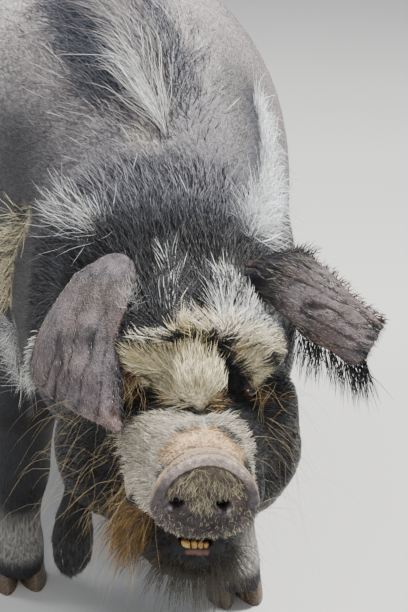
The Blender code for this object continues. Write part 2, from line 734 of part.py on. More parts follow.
def build_claw(mesh, foot, side):
    """Half of a cloven hoof: a flat sole, a sloping front wall and a rounded heel."""
    rings = []
    for t, reach, width in CLAW_SHAPE:
        heel = foot[1] + 0.018
        toe = heel - CLAW_LENGTH * reach
        half = CLAW_WIDTH * width / 2
        inner = side * CLEFT / 2
        ring = []
        for i in range(12):
            angle = 2 * math.pi * i / 12
            along = (heel + toe) / 2 + math.cos(angle) * (heel - toe) / 2
            taper = 1 - 0.30 * max(0.0, -math.cos(angle)) ** 1.5
            across = inner + side * half + math.sin(angle) * half * taper * side
            ring.append((foot[0] + across, along, t * HOOF_TOP))
        rings.append(ring)
    loft(mesh, rings)


def build_hooves(pig, materials):
    for name, (profile, top, foot) in LEGS.items():
        for word, side in (("outer", 1), ("inner", -1)):
            outward = side * math.copysign(1, top[0])
            claw = mesh_object(f"claw_{name}_{word}",
                               lambda m, f=foot, s=outward: build_claw(m, f, s), pig)
            claw.data.materials.append(materials["hoof"])


def build_snout(pig, helpers, materials):
    """The disc at the end of the muzzle, with its rim and nostrils."""
    rings = section_rings(SNOUT, 8, 22, 2.3, 1.75, 0.42)
    snout = mesh_object("snout", lambda m: loft(m, rings, HEAD), pig)
    x, z, rx, rz, depth = NOSTRIL
    for side in (1, -1):
        mesh_object("nostril", lambda m, s=side: ball(
            m, (s * x, 0.0, z), (rx, depth, rz), HEAD, 12), helpers)
    combine(snout, helpers, "DIFFERENCE")
    snout.data.materials.clear()
    snout.data.materials.append(materials["snout_skin"])


def build_eyes(pig, materials):
    for word, side in (("left", 1), ("right", -1)):
        eye = mesh_object(f"eye_{word}", lambda m, s=side: ball(
            m, (0, 0, 0), (EYE_RADIUS,) * 3, eye_frame(s), 12), pig)
        eye.data.shade_smooth()
        eye.data.materials.append(materials["eye"])


def add_teeth(head, helpers):
    """A short row of lower front teeth, rooted in the jaw behind the lip."""
    width, depth, height = TOOTH
    for i in range(TEETH):
        place = ((i - (TEETH - 1) / 2) * width * 1.03, *TOOTH_PLACE)
        mesh_object("tooth", lambda m, p=place: build_tooth(m, p), helpers)
    combine(head, helpers, "UNION")


def build_tooth(mesh, place):
    """A peg with a rounded crown."""
    width, depth, height = TOOTH
    rings = []
    for t, share in ((-0.5, 0.80), (0.0, 0.95), (0.30, 1.0), (0.44, 0.85), (0.5, 0.55)):
        rings.append([(place[0] + a, place[1] + b, place[2] + t * height) for a, b in
                      round_section(width / 2 * share, depth / 2 * share, depth / 2 * share, 6, 2.4)])
    loft(mesh, rings, HEAD)


def lock_path(surface, root, lie, length, lift, droop, bend):
    """Points and outward directions along a lock, from its sunk root to its tip.

    The lock runs over the surface along its lie, bends to one side and rises towards its
    tip. A droop of 1 lets it leave the surface and hang.
    """
    steps = len(LOCK_SHAPE) - 1
    place, out = surface.find_nearest(root)[:2]
    ahead = Vector(lie)
    path = [(place - out * LOCK_ROOT, out)]
    for i in range(1, steps + 1):
        ahead = Matrix.Rotation(bend, 3, out) @ ahead
        along = ahead - out * ahead.dot(out) * (1.0 - droop)
        free = place + along.normalized() * length / steps
        below, under = surface.find_nearest(free)[:2]
        hanging = droop and (free - below).dot(under) > LOCK_THICKNESS
        place = free if hanging else below
        if hanging:
            ahead = (ahead + Vector((0, 0, -0.35 * droop))).normalized()
            path.append((place, out))
        else:
            out = (out + under).normalized()
            path.append((place + out * (LOCK_THICKNESS + lift) * (i / steps) ** LOCK_RISE, out))
    return path


def build_lock(mesh, path, width, twist):
    """A flat, tapered lock: three-sided sections along its path, with a low ridge on top."""
    rings = []
    last = len(path) - 1
    for i, (place, out) in enumerate(path):
        ahead = (path[min(i + 1, last)][0] - path[max(i - 1, 0)][0]).normalized()
        across = Matrix.Rotation(twist * i / last, 3, ahead) @ ahead.cross(out).normalized()
        up = across.cross(ahead)
        half = width / 2 * LOCK_SHAPE[i]
        thick = LOCK_THICKNESS / 2 * (0.3 + 0.7 * LOCK_SHAPE[i])
        rings.append([place + across * half - up * thick, place + up * thick,
                      place - across * half - up * thick])
    loft(mesh, rings)
    bmesh.ops.triangulate(mesh, faces=mesh.faces)


def within(corners, across, down):
    """A point between the corners of a field's first row and of its last row."""
    first, second, third, fourth = (Vector(corner) for corner in corners)
    return first.lerp(second, across).lerp(third.lerp(fourth, across), down)


def locks_of(node, surface, helpers):
    """Every lock that grows from one piece, as closed objects."""
    chance = random.Random(LOCK_SEED)
    for piece, frame, sides, corners, lies, (along, rows), *sizes in LOCK_FIELDS:
        for side, row, i in itertools.product(sides, range(rows), range(along)):
            jitter = [chance.uniform(-1, 1) for _ in range(6)]
            if piece != node:
                continue
            across = (i + 0.25 * jitter[0] + 0.5 * (row % 2)) / (along - 0.5)
            down = row / max(1, rows - 1)
            lie = within(lies, across, down) + Vector(jitter[1:4]) * LOCK_JITTER
            place = (HEAD if frame == "head" else BODY) @ Matrix.Diagonal((side, 1, 1, 1))
            length, width, lift, droop = sizes
            length *= 1.0 + LOCK_JITTER * jitter[4]
            bend = jitter[5] * LOCK_BEND
            path = lock_path(surface, place @ within(corners, across, down),
                             place.to_3x3() @ lie.normalized(), length, lift, droop, bend)
            mesh_object("lock", lambda m, p=path, w=width, b=bend: build_lock(m, p, w, b), helpers)


def grow_locks(nodes, helpers):
    """Joins the locks to their pieces, cut back where they would reach a neighbour."""
    head_near = ("ear_left", "ear_right", "wattle_right", "snout", "eye_left", "eye_right")
    growing = (("torso", (), ((NECK_END, -1),)), ("neck", (), ((HEAD_END, -1), (NECK_END, 1))),
               ("head", head_near, ((HEAD_END, 1),)), ("ear_left", ("head",), ()),
               ("tail", ("torso",), ()))
    for name, neighbours, ends in growing:
        locks_of(name, surface_of(nodes[name]), helpers)
        locks = helpers.objects[0]
        helpers.objects.unlink(locks)
        bpy.context.scene.collection.objects.link(locks)
        combine(locks, helpers, "UNION")
        for neighbour in neighbours:
            grown_copy(nodes[neighbour], "clearance", helpers)
            new_object("neighbour", nodes[neighbour].data.copy(), helpers)
        for (frame, centre, turn, sizes), side in ends:
            beyond = turn @ Matrix.Translation((0, side * (0.3 - GAP / 2), 0))
            mesh_object("beyond", lambda m, f=frame, c=centre, t=beyond: place_box(
                m, c, t, (0.8, 0.6, 0.8), f), helpers)
        if helpers.objects:
            combine(locks, helpers, "DIFFERENCE")
        helpers.objects.link(locks)
        combine(nodes[name], helpers, "UNION")
        keep_largest(nodes[name])
        for face in nodes[name].data.polygons:
            face.material_index = 0


def build_pig():
    clear_scene()
    pig = new_collection("pig")
    helpers = new_collection("helpers")
    materials = {name: new_material(name, 0.3 if name == "eye" else 0.75) for name in COLOURS}
    flesh = mesh_object("flesh", build_soft_body, pig)
    soften(flesh)
    add_features(flesh, helpers)
    nodes = set_apart(flesh, pig, helpers, materials)
    part_flesh(flesh, helpers)
    nodes.update(name_pieces(flesh, piece_places(), pig, materials))
    carve_head(nodes["head"], helpers)
    add_teeth(nodes["head"], helpers)
    build_snout(pig, helpers, materials)
    build_eyes(pig, materials)
    build_hooves(pig, materials)
    nodes.update({obj.name: obj for obj in pig.objects})
    grow_locks(nodes, helpers)
    bpy.data.collections.remove(helpers)


build_pig()
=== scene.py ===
"""The looks of a life-size, still model of a hairy domestic pig with its head lowered.

Metres, +Z up. The pig faces -Y and its left side is +X. One skin takes the place of the
flesh, and the coat is made of many thin, tapered tufts that lie along it.
"""

import json
import math

import bmesh
import bpy
import numpy as np
from mathutils import Matrix, Vector
from mathutils.bvhtree import BVHTree

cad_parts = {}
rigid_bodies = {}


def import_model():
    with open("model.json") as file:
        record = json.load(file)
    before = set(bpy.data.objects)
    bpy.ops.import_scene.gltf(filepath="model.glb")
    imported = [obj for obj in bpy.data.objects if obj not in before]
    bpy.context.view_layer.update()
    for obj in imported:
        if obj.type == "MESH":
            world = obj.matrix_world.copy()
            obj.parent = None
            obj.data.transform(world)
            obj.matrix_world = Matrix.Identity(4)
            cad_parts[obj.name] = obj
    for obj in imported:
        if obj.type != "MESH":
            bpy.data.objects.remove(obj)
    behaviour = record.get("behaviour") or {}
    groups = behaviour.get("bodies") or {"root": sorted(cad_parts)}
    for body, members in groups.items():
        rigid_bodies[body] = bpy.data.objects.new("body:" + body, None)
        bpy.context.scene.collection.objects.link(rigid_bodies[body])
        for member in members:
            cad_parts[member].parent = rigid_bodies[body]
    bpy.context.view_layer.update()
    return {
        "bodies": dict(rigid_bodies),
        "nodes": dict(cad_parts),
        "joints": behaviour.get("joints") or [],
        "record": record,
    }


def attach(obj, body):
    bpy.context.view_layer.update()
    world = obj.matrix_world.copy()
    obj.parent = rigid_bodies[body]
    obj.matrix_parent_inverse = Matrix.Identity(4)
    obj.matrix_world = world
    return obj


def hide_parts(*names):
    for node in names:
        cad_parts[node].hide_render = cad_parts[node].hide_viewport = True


# Driving dimensions of the body: the same forms as in the solids
BACK_HEIGHT = 0.660
BARREL_HALF_WIDTH = 0.252

# The skin: its voxels, how often it is smoothed, and how far it lies under the solids' surface
SKIN_VOXEL = 0.0060
SKIN_ROUNDS = 5
TRUNK_ROUNDS = 34
COAT_DEPTH = 0.0022
# The rump is smoothed once more: from and to which y, above which z, and how often
RUMP_SPAN = (0.28, 0.62, 0.25)
RUMP_ROUNDS = 16
# How deep in the head's frame the skin is made finer, how deep it is eased and how often,
# and how deep the head's features reach
FINE_DEPTH = 0.180
EASED_DEPTH = 0.28
HEAD_ROUNDS = 3
HEAD_END = 0.30
# Where the face's fine coat gives way to the coat of the head, and that to the trunk's coat
FACE_END = 0.130
HEAD_COAT_END = 0.290
TRUNK_COAT_START = 0.27
# Round an eye: from where to where the coat sets in, and where it grows long, from what share
EYE_CLEAR = (0.0135, 0.0165)
EYE_SHORT = (0.016, 0.034, 0.22)

# The trunk from the back of the skull to the rump: y, top, bottom, half width
TRUNK = (
    (-0.450, 0.445, 0.245, 0.070),
    (-0.400, 0.492, 0.215, 0.112),
    (-0.350, 0.532, 0.204, 0.134),
    (-0.290, 0.576, 0.200, 0.148),
    (-0.230, 0.618, 0.196, 0.158),
    (-0.160, 0.647, 0.188, 0.176),
    (-0.070, BACK_HEIGHT - 0.003, 0.174, 0.210),
    (0.030, BACK_HEIGHT, 0.162, 0.238),
    (0.140, BACK_HEIGHT + 0.002, 0.152, BARREL_HALF_WIDTH),
    (0.250, BACK_HEIGHT + 0.001, 0.154, 0.250),
    (0.360, 0.655, 0.176, 0.232),
    (0.460, 0.640, 0.216, 0.203),
    (0.540, 0.610, 0.268, 0.166),
    (0.594, 0.568, 0.326, 0.120),
    (0.624, 0.524, 0.380, 0.066),
)
# How high the trunk is widest, as a share; rings and sides of the trunk and of the head's tubes
TRUNK_WIDEST = 0.46
TRUNK_GRID = (34, 36)
HEAD_GRID = (12, 28)

# Muscle and fat over the trunk: (x, y, z), (radii); a form off the middle has a twin
BODY_FORMS = (
    ((0.112, -0.165, 0.370), (0.068, 0.105, 0.140)),
    ((0.112, 0.485, 0.370), (0.098, 0.128, 0.160)),
    ((0.000, -0.235, 0.262), (0.100, 0.095, 0.078)),
    ((0.000, -0.160, 0.560), (0.090, 0.120, 0.085)),
    ((0.050, 0.520, 0.520), (0.095, 0.090, 0.090)),
)

# Legs: height, set back, half width across, half width along
FORE_LEG = (
    (0.400, 0.000, 0.066, 0.092),
    (0.330, 0.000, 0.060, 0.080),
    (0.265, 0.006, 0.051, 0.064),
    (0.210, 0.010, 0.043, 0.052),
    (0.165, 0.006, 0.037, 0.043),
    (0.128, 0.000, 0.036, 0.040),
    (0.102, 0.003, 0.030, 0.033),
    (0.074, 0.004, 0.028, 0.031),
    (0.052, 0.000, 0.032, 0.036),
    (0.034, -0.008, 0.032, 0.038),
    (0.018, -0.014, 0.030, 0.037),
)
HIND_LEG = (
    (0.430, -0.030, 0.084, 0.120),
    (0.345, -0.022, 0.078, 0.110),
    (0.275, -0.010, 0.063, 0.086),
    (0.220, 0.012, 0.049, 0.063),
    (0.180, 0.034, 0.039, 0.050),
    (0.148, 0.044, 0.035, 0.044),
    (0.116, 0.036, 0.029, 0.035),
    (0.082, 0.022, 0.028, 0.031),
    (0.056, 0.010, 0.032, 0.036),
    (0.036, 0.000, 0.032, 0.038),
    (0.018, -0.006, 0.030, 0.037),
)
# Each leg: profile, where it leaves the body (x, y), where its foot stands (x, y)
LEGS = {
    "foreleg_left": (FORE_LEG, (0.112, -0.185), (0.092, -0.255)),
    "foreleg_right": (FORE_LEG, (-0.112, -0.175), (-0.138, -0.165)),
    "hindleg_left": (HIND_LEG, (0.118, 0.480), (0.128, 0.430)),
    "hindleg_right": (HIND_LEG, (-0.118, 0.490), (-0.126, 0.505)),
}
HOOF_TOP = 0.031
CLAW_LENGTH = 0.060
CLAW_WIDTH = 0.029
CLEFT = 0.004
CLAW_SHAPE = ((0.0, 1.00, 1.00), (0.10, 1.01, 1.02), (0.55, 0.94, 0.98), (1.0, 0.84, 0.90))
DEWCLAW_LENGTH = 0.030
DEWCLAW_RADIUS = 0.009
DEWCLAW_HEIGHT = 0.062

# The head has a frame of its own: x to its left, d back from the snout's face, z up
SNOUT_CENTRE = Vector((0.0, -0.640, 0.310))
HEAD_PIVOT = Vector((0.0, -0.420, 0.360))
HEAD_TURN = math.radians(7.5)
HEAD_TILT = math.radians(5.0)

HEAD_FORMS = (
    ((0.000, 0.205, 0.056), (0.090, 0.085, 0.092)),
    ((0.000, 0.270, 0.070), (0.092, 0.085, 0.085)),
    ((0.000, 0.152, 0.094), (0.078, 0.036, 0.030)),
    ((0.046, 0.150, 0.082), (0.040, 0.040, 0.026)),
    ((0.000, 0.132, 0.062), (0.042, 0.048, 0.034)),
    ((0.062, 0.170, 0.018), (0.043, 0.068, 0.050)),
    ((0.064, 0.188, -0.012), (0.047, 0.080, 0.070)),
    ((0.068, 0.205, -0.044), (0.054, 0.094, 0.062)),
    ((0.035, 0.078, -0.022), (0.030, 0.056, 0.030)),
    ((0.000, 0.235, -0.048), (0.088, 0.090, 0.074)),
)
# The muzzle and the lower jaw: d, half width, top, bottom
MUZZLE = (
    (0.010, 0.0445, 0.0370, -0.0400),
    (0.030, 0.0455, 0.0390, -0.0415),
    (0.055, 0.0520, 0.0440, -0.0460),
    (0.085, 0.0620, 0.0520, -0.0520),
    (0.120, 0.0780, 0.0600, -0.0600),
    (0.160, 0.0900, 0.0660, -0.0700),
)
JAW = (
    (0.010, 0.0200, -0.0430, -0.0680),
    (0.022, 0.0290, -0.0420, -0.0840),
    (0.045, 0.0390, -0.0360, -0.1050),
    (0.075, 0.0500, -0.0300, -0.1160),
    (0.115, 0.0680, -0.0200, -0.1180),
    (0.170, 0.0880, -0.0100, -0.1120),
)
SNOUT = (
    (0.0240, 0.0435, 0.0365, -0.0390),
    (0.0170, 0.0462, 0.0392, -0.0412),
    (0.0110, 0.0480, 0.0408, -0.0422),
    (0.0055, 0.0478, 0.0404, -0.0418),
    (0.0015, 0.0450, 0.0376, -0.0392),
    (0.0002, 0.0412, 0.0338, -0.0358),
    (0.0016, 0.0376, 0.0302, -0.0326),
    (0.0040, 0.0344, 0.0270, -0.0298),
)
# Rings and sides of the snout, how full its section is below and above, its height when widest
SNOUT_GRID = (40, 140)
SNOUT_SECTION = (2.3, 1.75, 0.42)
# How deep the disc is dished, and how many rings it has from its rim to its middle
SNOUT_DISH = 0.0036
DISC_RINGS = 44
# The snout's disc within its rim: half its width, its middle, its height over and under that
DISC_HALF_WIDTH = 0.0405
DISC_MIDDLE = -0.002
DISC_OVER = 0.0352
DISC_UNDER = 0.0340
# Folds round the snout behind its rim: their places, their width, and their depth as a share
RIM_FOLDS = (0.0068, 0.0128)
RIM_FOLD_WIDTH = 0.0013
RIM_FOLD_DEPTH = 0.050
# Nostrils: how far their middle is off the disc's, half their spacing, height, radii, depth
NOSTRIL = (-0.0050, 0.0205, -0.0085, 0.0076, 0.0060, 0.013)
MOUTH = ((0.025, 0.030, -0.0455), (0.034, 0.042, -0.0430), (0.045, 0.062, -0.0380),
         (0.056, 0.085, -0.0320), (0.066, 0.108, -0.0260))
MOUTH_GAP = ((-0.004, 0.014, -0.0500), (0.0150, 0.022, 0.0068))
# Lower teeth from the right: width of each, then their depth and height
TOOTH_WIDTHS = (0.0084, 0.0060, 0.0052, 0.0048)
TOOTH = (0.0056, 0.0095)
TOOTH_PLACE = (-0.0040, 0.0155, -0.0550)
# A tooth from its root to its edge: height as a share, breadth as a share
TOOTH_SHAPE = ((-0.5, 0.80), (-0.2, 0.9), (0.1, 0.98), (0.28, 1.0), (0.38, 0.90), (0.46, 0.66),
               (0.5, 0.30))

EYE_CENTRE = (0.0480, 0.1330, 0.0470)
EYE_RADIUS = 0.0125
EYE_FACING = (0.56, -0.82, 0.08)
LID_RADIUS = 0.0152
EYE_OPENING = (0.0092, 0.0054)
# The eye's colours by the angle from its middle: pupil, iris, its dark edge, the white
EYE_RINGS = ((0.0, (0.004, 0.003, 0.003)), (0.20, (0.004, 0.003, 0.003)),
             (0.24, (0.060, 0.026, 0.010)), (0.50, (0.028, 0.012, 0.006)),
             (0.58, (0.012, 0.008, 0.007)), (0.66, (0.30, 0.24, 0.21)))

WATTLE = (-0.100, 0.172, -0.122)
WATTLE_RADII = (0.0195, 0.0180, 0.0465)
WATTLE_SHAPE = ((0.0, 0.45), (0.22, 0.62), (0.45, 0.88), (0.65, 1.00), (0.80, 0.94), (0.91, 0.70),
                (0.98, 0.34), (1.0, 0.12))

# Ears: points of the inner and outer margin from the root to the tip
EAR_RIGHT = (((-0.050, 0.198, 0.130), (-0.062, 0.172, 0.124), (-0.071, 0.142, 0.100),
              (-0.074, 0.116, 0.073), (-0.073, 0.094, 0.047), (-0.070, 0.076, 0.026)),
             ((-0.080, 0.240, 0.116), (-0.114, 0.226, 0.112), (-0.143, 0.196, 0.074),
              (-0.149, 0.172, 0.036), (-0.119, 0.140, 0.022), (-0.075, 0.084, 0.022)))
EAR_LEFT = (((0.048, 0.190, 0.124), (0.074, 0.166, 0.118), (0.098, 0.140, 0.100),
             (0.120, 0.118, 0.095), (0.138, 0.102, 0.088), (0.150, 0.100, 0.096)),
            ((0.070, 0.236, 0.124), (0.096, 0.212, 0.158), (0.122, 0.182, 0.152),
             (0.142, 0.148, 0.139), (0.158, 0.120, 0.131), (0.165, 0.110, 0.124)))
EAR_CUP = 0.020
EAR_THICKNESS = 0.0042
# Each ear: its margins, how dark its root is, the seed of its coat
EARS = {"left": (EAR_LEFT, 0.85, 71), "right": (EAR_RIGHT, 0.0, 72)}
# Hairs on an ear's margin: ear, inner (0) or outer (1) margin, from, to, count, length, lie, colours
EAR_FRINGES = (
    ("fringe_ear_left_low", EAR_LEFT, 0, 0.30, 0.99, 300, 0.036, (0.1, 0, -0.9), ("black", "slate")),
    ("fringe_ear_left_top", EAR_LEFT, 1, 0.10, 0.95, 260, 0.007, (0.4, 0, 0.4), ("ear_edge", "black")),
    ("fringe_ear_left_root", EAR_LEFT, 1, 0.00, 0.30, 160, 0.016, (0.6, -0.2, 0.2), ("black", "slate")),
    ("fringe_ear_right_out", EAR_RIGHT, 1, 0.40, 0.66, 90, 0.009, (-0.4, 0.1, 0.1), ("white", "muzzle")),
    ("fringe_ear_right_in", EAR_RIGHT, 0, 0.02, 0.98, 260, 0.007, (0.3, -0.2, -0.6), ("slate", "black")),
)
FRINGE_SEED = 81

TAIL = ((0.000, 0.575, 0.548), (0.000, 0.612, 0.540), (0.006, 0.633, 0.506),
        (0.016, 0.636, 0.466), (0.019, 0.628, 0.426), (0.010, 0.621, 0.391))
TAIL_RADII = (0.024, 0.019, 0.015, 0.012, 0.0095, 0.007)

# Where the hair of the forehead's two fans, of the brow and of the bridge starts
FAN_ROOTS = ((-0.029, 0.130, 0.104), (0.026, 0.118, 0.102))
BROW_ROOT = np.array((0.012, 0.100, 0.070))
BRIDGE_ROOT = np.array((-0.004, 0.070, 0.040))

# Folds, hollows and (with a negative depth) swellings: centre, radii, depth, on both sides
HEAD_DENTS = (
    ((0.031, 0.106, 0.068), (0.011, 0.012, 0.014), 0.0100, True),
    ((0.009, 0.116, 0.097), (0.012, 0.010, 0.005), 0.0095, False),
    ((-0.026, 0.118, 0.096), (0.012, 0.010, 0.004), 0.0025, False),
    ((0.000, 0.079, 0.051), (0.046, 0.008, 0.006), 0.0065, False),
    ((0.046, 0.112, 0.024), (0.022, 0.010, 0.005), 0.0035, True),
    ((0.064, 0.135, 0.030), (0.016, 0.014, 0.004), 0.0030, True),
    ((-0.003, 0.017, 0.036), (0.0022, 0.006, 0.012), 0.0036, False),
    ((0.090, 0.125, -0.020), (0.012, 0.008, 0.040), 0.0040, True),
    ((0.055, 0.105, -0.080), (0.040, 0.008, 0.030), 0.0035, True),
    ((-0.036, 0.124, 0.101), (0.030, 0.012, 0.006), -0.0040, False),
    ((0.042, 0.128, 0.104), (0.034, 0.014, 0.010), -0.0055, False),
    ((-0.014, 0.100, 0.074), (0.034, 0.014, 0.020), -0.0030, False),
    ((0.040, 0.082, 0.030), (0.020, 0.020, 0.014), -0.0030, True),
    ((0.100, 0.150, -0.070), (0.050, 0.070, 0.035), 0.0100, False),
)
# Wrinkles over the snout: how far back their middle is, width of the band, spacing, depth
WRINKLES = (0.0250, 0.0090, 0.0070, 0.0020)

# Colours as they look in daylight, from 0 to 255
COLOURS = {
    "grizzle": (172, 166, 168),
    "brindle": (116, 106, 100),
    "slate": (74, 77, 88),
    "black": (26, 27, 32),
    "white": (232, 233, 230),
    "collar": (240, 243, 246),
    "cream": (234, 223, 186),
    "brow": (228, 220, 196),
    "straw": (206, 188, 124),
    "ochre": (164, 124, 60),
    "umber": (98, 70, 50),
    "muzzle": (230, 221, 203),
    "bare": (192, 161, 122),
    "beard": (138, 102, 40),
    "olive": (66, 56, 38),
    "whisker": (222, 202, 154),
    # The snout's rim as lit from above: a painted highlight on its top, and painted shade on its sides and
    # bottom
    "rim": (188, 168, 160),
    "rim_in_painted_shade": (76, 68, 71),
    "disc": (70, 64, 66),
    "ear": (94, 86, 90),
    "ear_edge": (116, 88, 80),
    "lip": (128, 92, 80),
    "mouth": (40, 22, 20),
    "sock": (196, 192, 186),
}

# How far the skin takes on a marking's colour, where it isn't under half
SKIN_SHARES = {"bare": 1.1, "lip": 1.1, "mouth": 1.0, "black": 0.9, "umber": 0.9,
               "cream": 0.75, "brow": 0.75}
SKIN_SHARE = 0.45

# Markings, among them painted shade, painted shadows and a painted highlight: the frame, a line of points,
# the radius at each, the colour, how many hairs have it
MARKS = (
    ("body", ((-0.040, -0.270, 0.590), (-0.048, -0.130, 0.645), (-0.040, 0.120, 0.660),
              (-0.014, 0.340, 0.655)), (0.030, 0.036, 0.020, 0.006), "slate", 0.92),
    ("body", ((0.038, -0.300, 0.570), (0.034, -0.240, 0.610), (0.024, -0.100, 0.650)),
     (0.018, 0.016, 0.010), "slate", 0.90),
    ("body", ((0.006, -0.328, 0.548), (0.002, -0.296, 0.572), (-0.002, -0.262, 0.602)),
     (0.0050, 0.0050, 0.0060), "white", 0.85),
    ("body", ((-0.002, -0.262, 0.602), (-0.008, -0.200, 0.636), (-0.020, -0.100, 0.652)),
     (0.008, 0.011, 0.014), "white", 0.22),
    # A painted highlight: sheen on the back's top left, in the socks' pale colour
    ("body", ((-0.150, -0.060, 0.610), (-0.110, -0.050, 0.632), (-0.080, -0.030, 0.642)),
     (0.046, 0.040, 0.026), "sock", 0.70),
    ("body", ((-0.022, -0.338, 0.536), (-0.016, -0.310, 0.560)), (0.020, 0.016), "muzzle", 0.40),
    ("body", ((0.128, -0.205, 0.548), (0.126, -0.262, 0.520), (0.102, -0.336, 0.488)),
     (0.024, 0.032, 0.030), "slate", 0.88),
    ("body", ((0.134, -0.212, 0.540), (0.132, -0.262, 0.516), (0.110, -0.336, 0.484),
              (0.074, -0.392, 0.466)), (0.012, 0.014, 0.017, 0.019), "collar", 0.74),
    # A slate band beside the collar: partly the blue-black coat, partly painted shadow in the gap between
    # the collar and the neck's edge
    ("body", ((0.156, -0.190, 0.560), (0.152, -0.216, 0.510), (0.130, -0.310, 0.470)),
     (0.010, 0.014, 0.012), "slate", 0.85),
    ("body", ((0.138, -0.240, 0.500), (0.150, -0.262, 0.440)), (0.018, 0.010), "collar", 0.40),
    ("body", ((-0.076, -0.384, 0.474), (-0.098, -0.350, 0.480)), (0.020, 0.016), "white", 0.62),
    ("body", ((-0.134, -0.288, 0.460), (-0.148, -0.270, 0.424), (-0.146, -0.268, 0.372)),
     (0.014, 0.013, 0.008), "cream", 0.60),
    ("body", ((-0.142, -0.274, 0.345), (-0.134, -0.250, 0.280), (-0.124, -0.218, 0.215)),
     (0.011, 0.013, 0.008), "white", 0.72),
    ("head", ((-0.029, 0.142, 0.119), (-0.024, 0.175, 0.139), (-0.020, 0.200, 0.151)),
     (0.008, 0.008, 0.006), "white", 0.46),
    ("head", ((0.026, 0.130, 0.112), (0.027, 0.160, 0.133), (0.030, 0.200, 0.154)),
     (0.018, 0.013, 0.006), "white", 0.50),
    ("head", ((0.030, 0.130, 0.113), (0.072, 0.146, 0.112)), (0.018, 0.014), "white", 0.60),
    ("head", ((-0.062, 0.116, 0.082), (-0.034, 0.121, 0.098), (-0.006, 0.124, 0.107)),
     (0.0075, 0.0065, 0.008), "brow", 0.70),
    ("head", ((-0.006, 0.125, 0.107), (0.020, 0.124, 0.106), (0.048, 0.120, 0.097),
              (0.080, 0.138, 0.088)), (0.010, 0.011, 0.013, 0.012), "brow", 0.72),
    ("head", ((-0.014, 0.120, 0.101), (0.004, 0.120, 0.103)), (0.006, 0.006), "straw", 0.60),
    ("head", ((0.030, 0.116, 0.090), (0.046, 0.118, 0.080), (0.058, 0.124, 0.066)),
     (0.006, 0.011, 0.009), "cream", 0.88),
    ("head", ((0.032, 0.118, 0.088), (0.062, 0.126, 0.078)), (0.005, 0.006), "straw", 0.50),
    ("head", ((-0.046, 0.108, 0.070), (-0.012, 0.094, 0.074), (0.012, 0.096, 0.074)),
     (0.022, 0.029, 0.016), "cream", 0.94),
    ("head", ((-0.050, 0.112, 0.080), (-0.020, 0.110, 0.088), (0.004, 0.106, 0.090)),
     (0.010, 0.010, 0.008), "straw", 0.50),
    ("head", ((-0.054, 0.098, 0.050), (-0.004, 0.080, 0.051), (0.020, 0.086, 0.055)),
     (0.007, 0.005, 0.005), "ochre", 0.60),
    # A thin black line under the right brow: painted shadow under the ridge
    ("head", ((-0.052, 0.116, 0.086), (-0.030, 0.118, 0.0935), (-0.008, 0.118, 0.0985)),
     (0.003, 0.0032, 0.0036), "black", 0.85),
    # A black slit under the brow, in a hollow: painted shadow
    ("head", ((0.006, 0.117, 0.098), (0.015, 0.113, 0.091)), (0.007, 0.006), "black", 1.0),
    # The hollow on the inner side of the left eye, painted black: painted shadow in the socket
    ("head", ((0.022, 0.103, 0.083), (0.028, 0.102, 0.070), (0.035, 0.110, 0.054)),
     (0.008, 0.013, 0.011), "black", 1.0),
    ("head", ((-0.064, 0.124, 0.056), (-0.052, 0.114, 0.040)), (0.011, 0.010), "umber", 0.90),
    ("head", ((0.046, 0.120, 0.043), (0.057, 0.124, 0.040)), (0.012, 0.012), "umber", 0.90),
    ("head", ((-0.018, 0.070, 0.047), (-0.046, 0.066, 0.026), (-0.058, 0.068, 0.000),
              (-0.060, 0.078, -0.028)), (0.014, 0.029, 0.035, 0.020), "muzzle", 0.80),
    ("head", ((-0.044, 0.036, 0.026), (-0.049, 0.036, 0.000), (-0.048, 0.030, -0.026)),
     (0.020, 0.020, 0.014), "muzzle", 0.80),
    ("head", ((-0.022, 0.066, 0.046), (0.022, 0.068, 0.046), (0.042, 0.054, 0.030)),
     (0.014, 0.014, 0.013), "muzzle", 0.80),
    ("head", ((0.042, 0.040, 0.028), (0.049, 0.028, 0.004), (0.048, 0.024, -0.026)),
     (0.013, 0.013, 0.011), "muzzle", 0.78),
    ("head", ((-0.026, 0.030, 0.034), (0.000, 0.038, 0.041), (0.022, 0.028, 0.035)),
     (0.017, 0.021, 0.017), "bare", 0.88),
    # The top of the snout's rim on the skin, in the rim's colour with its painted highlight
    ("head", ((-0.030, 0.019, 0.029), (0.000, 0.019, 0.038), (0.026, 0.019, 0.031)),
     (0.009, 0.009, 0.009), "rim", 0.55),
    # Thin dark lines in the wrinkles above the rim: painted shade in the creases
    ("head", ((-0.036, 0.0185, 0.020), (-0.020, 0.0190, 0.0345), (0.000, 0.0195, 0.0400),
              (0.020, 0.0190, 0.0345), (0.034, 0.0185, 0.020)), (0.0016,) * 5, "umber", 0.9),
    ("head", ((-0.030, 0.0270, 0.029), (0.000, 0.0275, 0.0405), (0.026, 0.0270, 0.030)),
     (0.0014,) * 3, "umber", 0.7),
    ("head", ((-0.046, 0.036, -0.036), (-0.052, 0.062, -0.054), (-0.058, 0.090, -0.078)),
     (0.010, 0.022, 0.022), "beard", 0.58),
    ("head", ((-0.030, 0.020, -0.072), (0.000, 0.018, -0.078), (0.030, 0.024, -0.072)),
     (0.016, 0.014, 0.016), "olive", 0.55),
    ("head", ((-0.010, 0.013, -0.0605), (0.006, 0.013, -0.0605)), (0.0028, 0.0028), "lip", 0.9),
    ("head", ((-0.016, 0.020, -0.050), (0.008, 0.020, -0.050)), (0.008, 0.008), "mouth", 1.0),
)

# The short coat: from and to which y each piece reaches, and its tufts
COAT_BANDS = (
    ("coat_neck", -0.42, -0.14, 46000),
    ("coat_shoulders", -0.14, 0.06, 27000),
    ("coat_barrel_front", 0.06, 0.26, 17000),
    ("coat_barrel_back", 0.26, 0.46, 17000),
    ("coat_rump", 0.46, 0.70, 15000),
)
LEG_TUFTS = 15000
HEAD_TUFTS = 19500
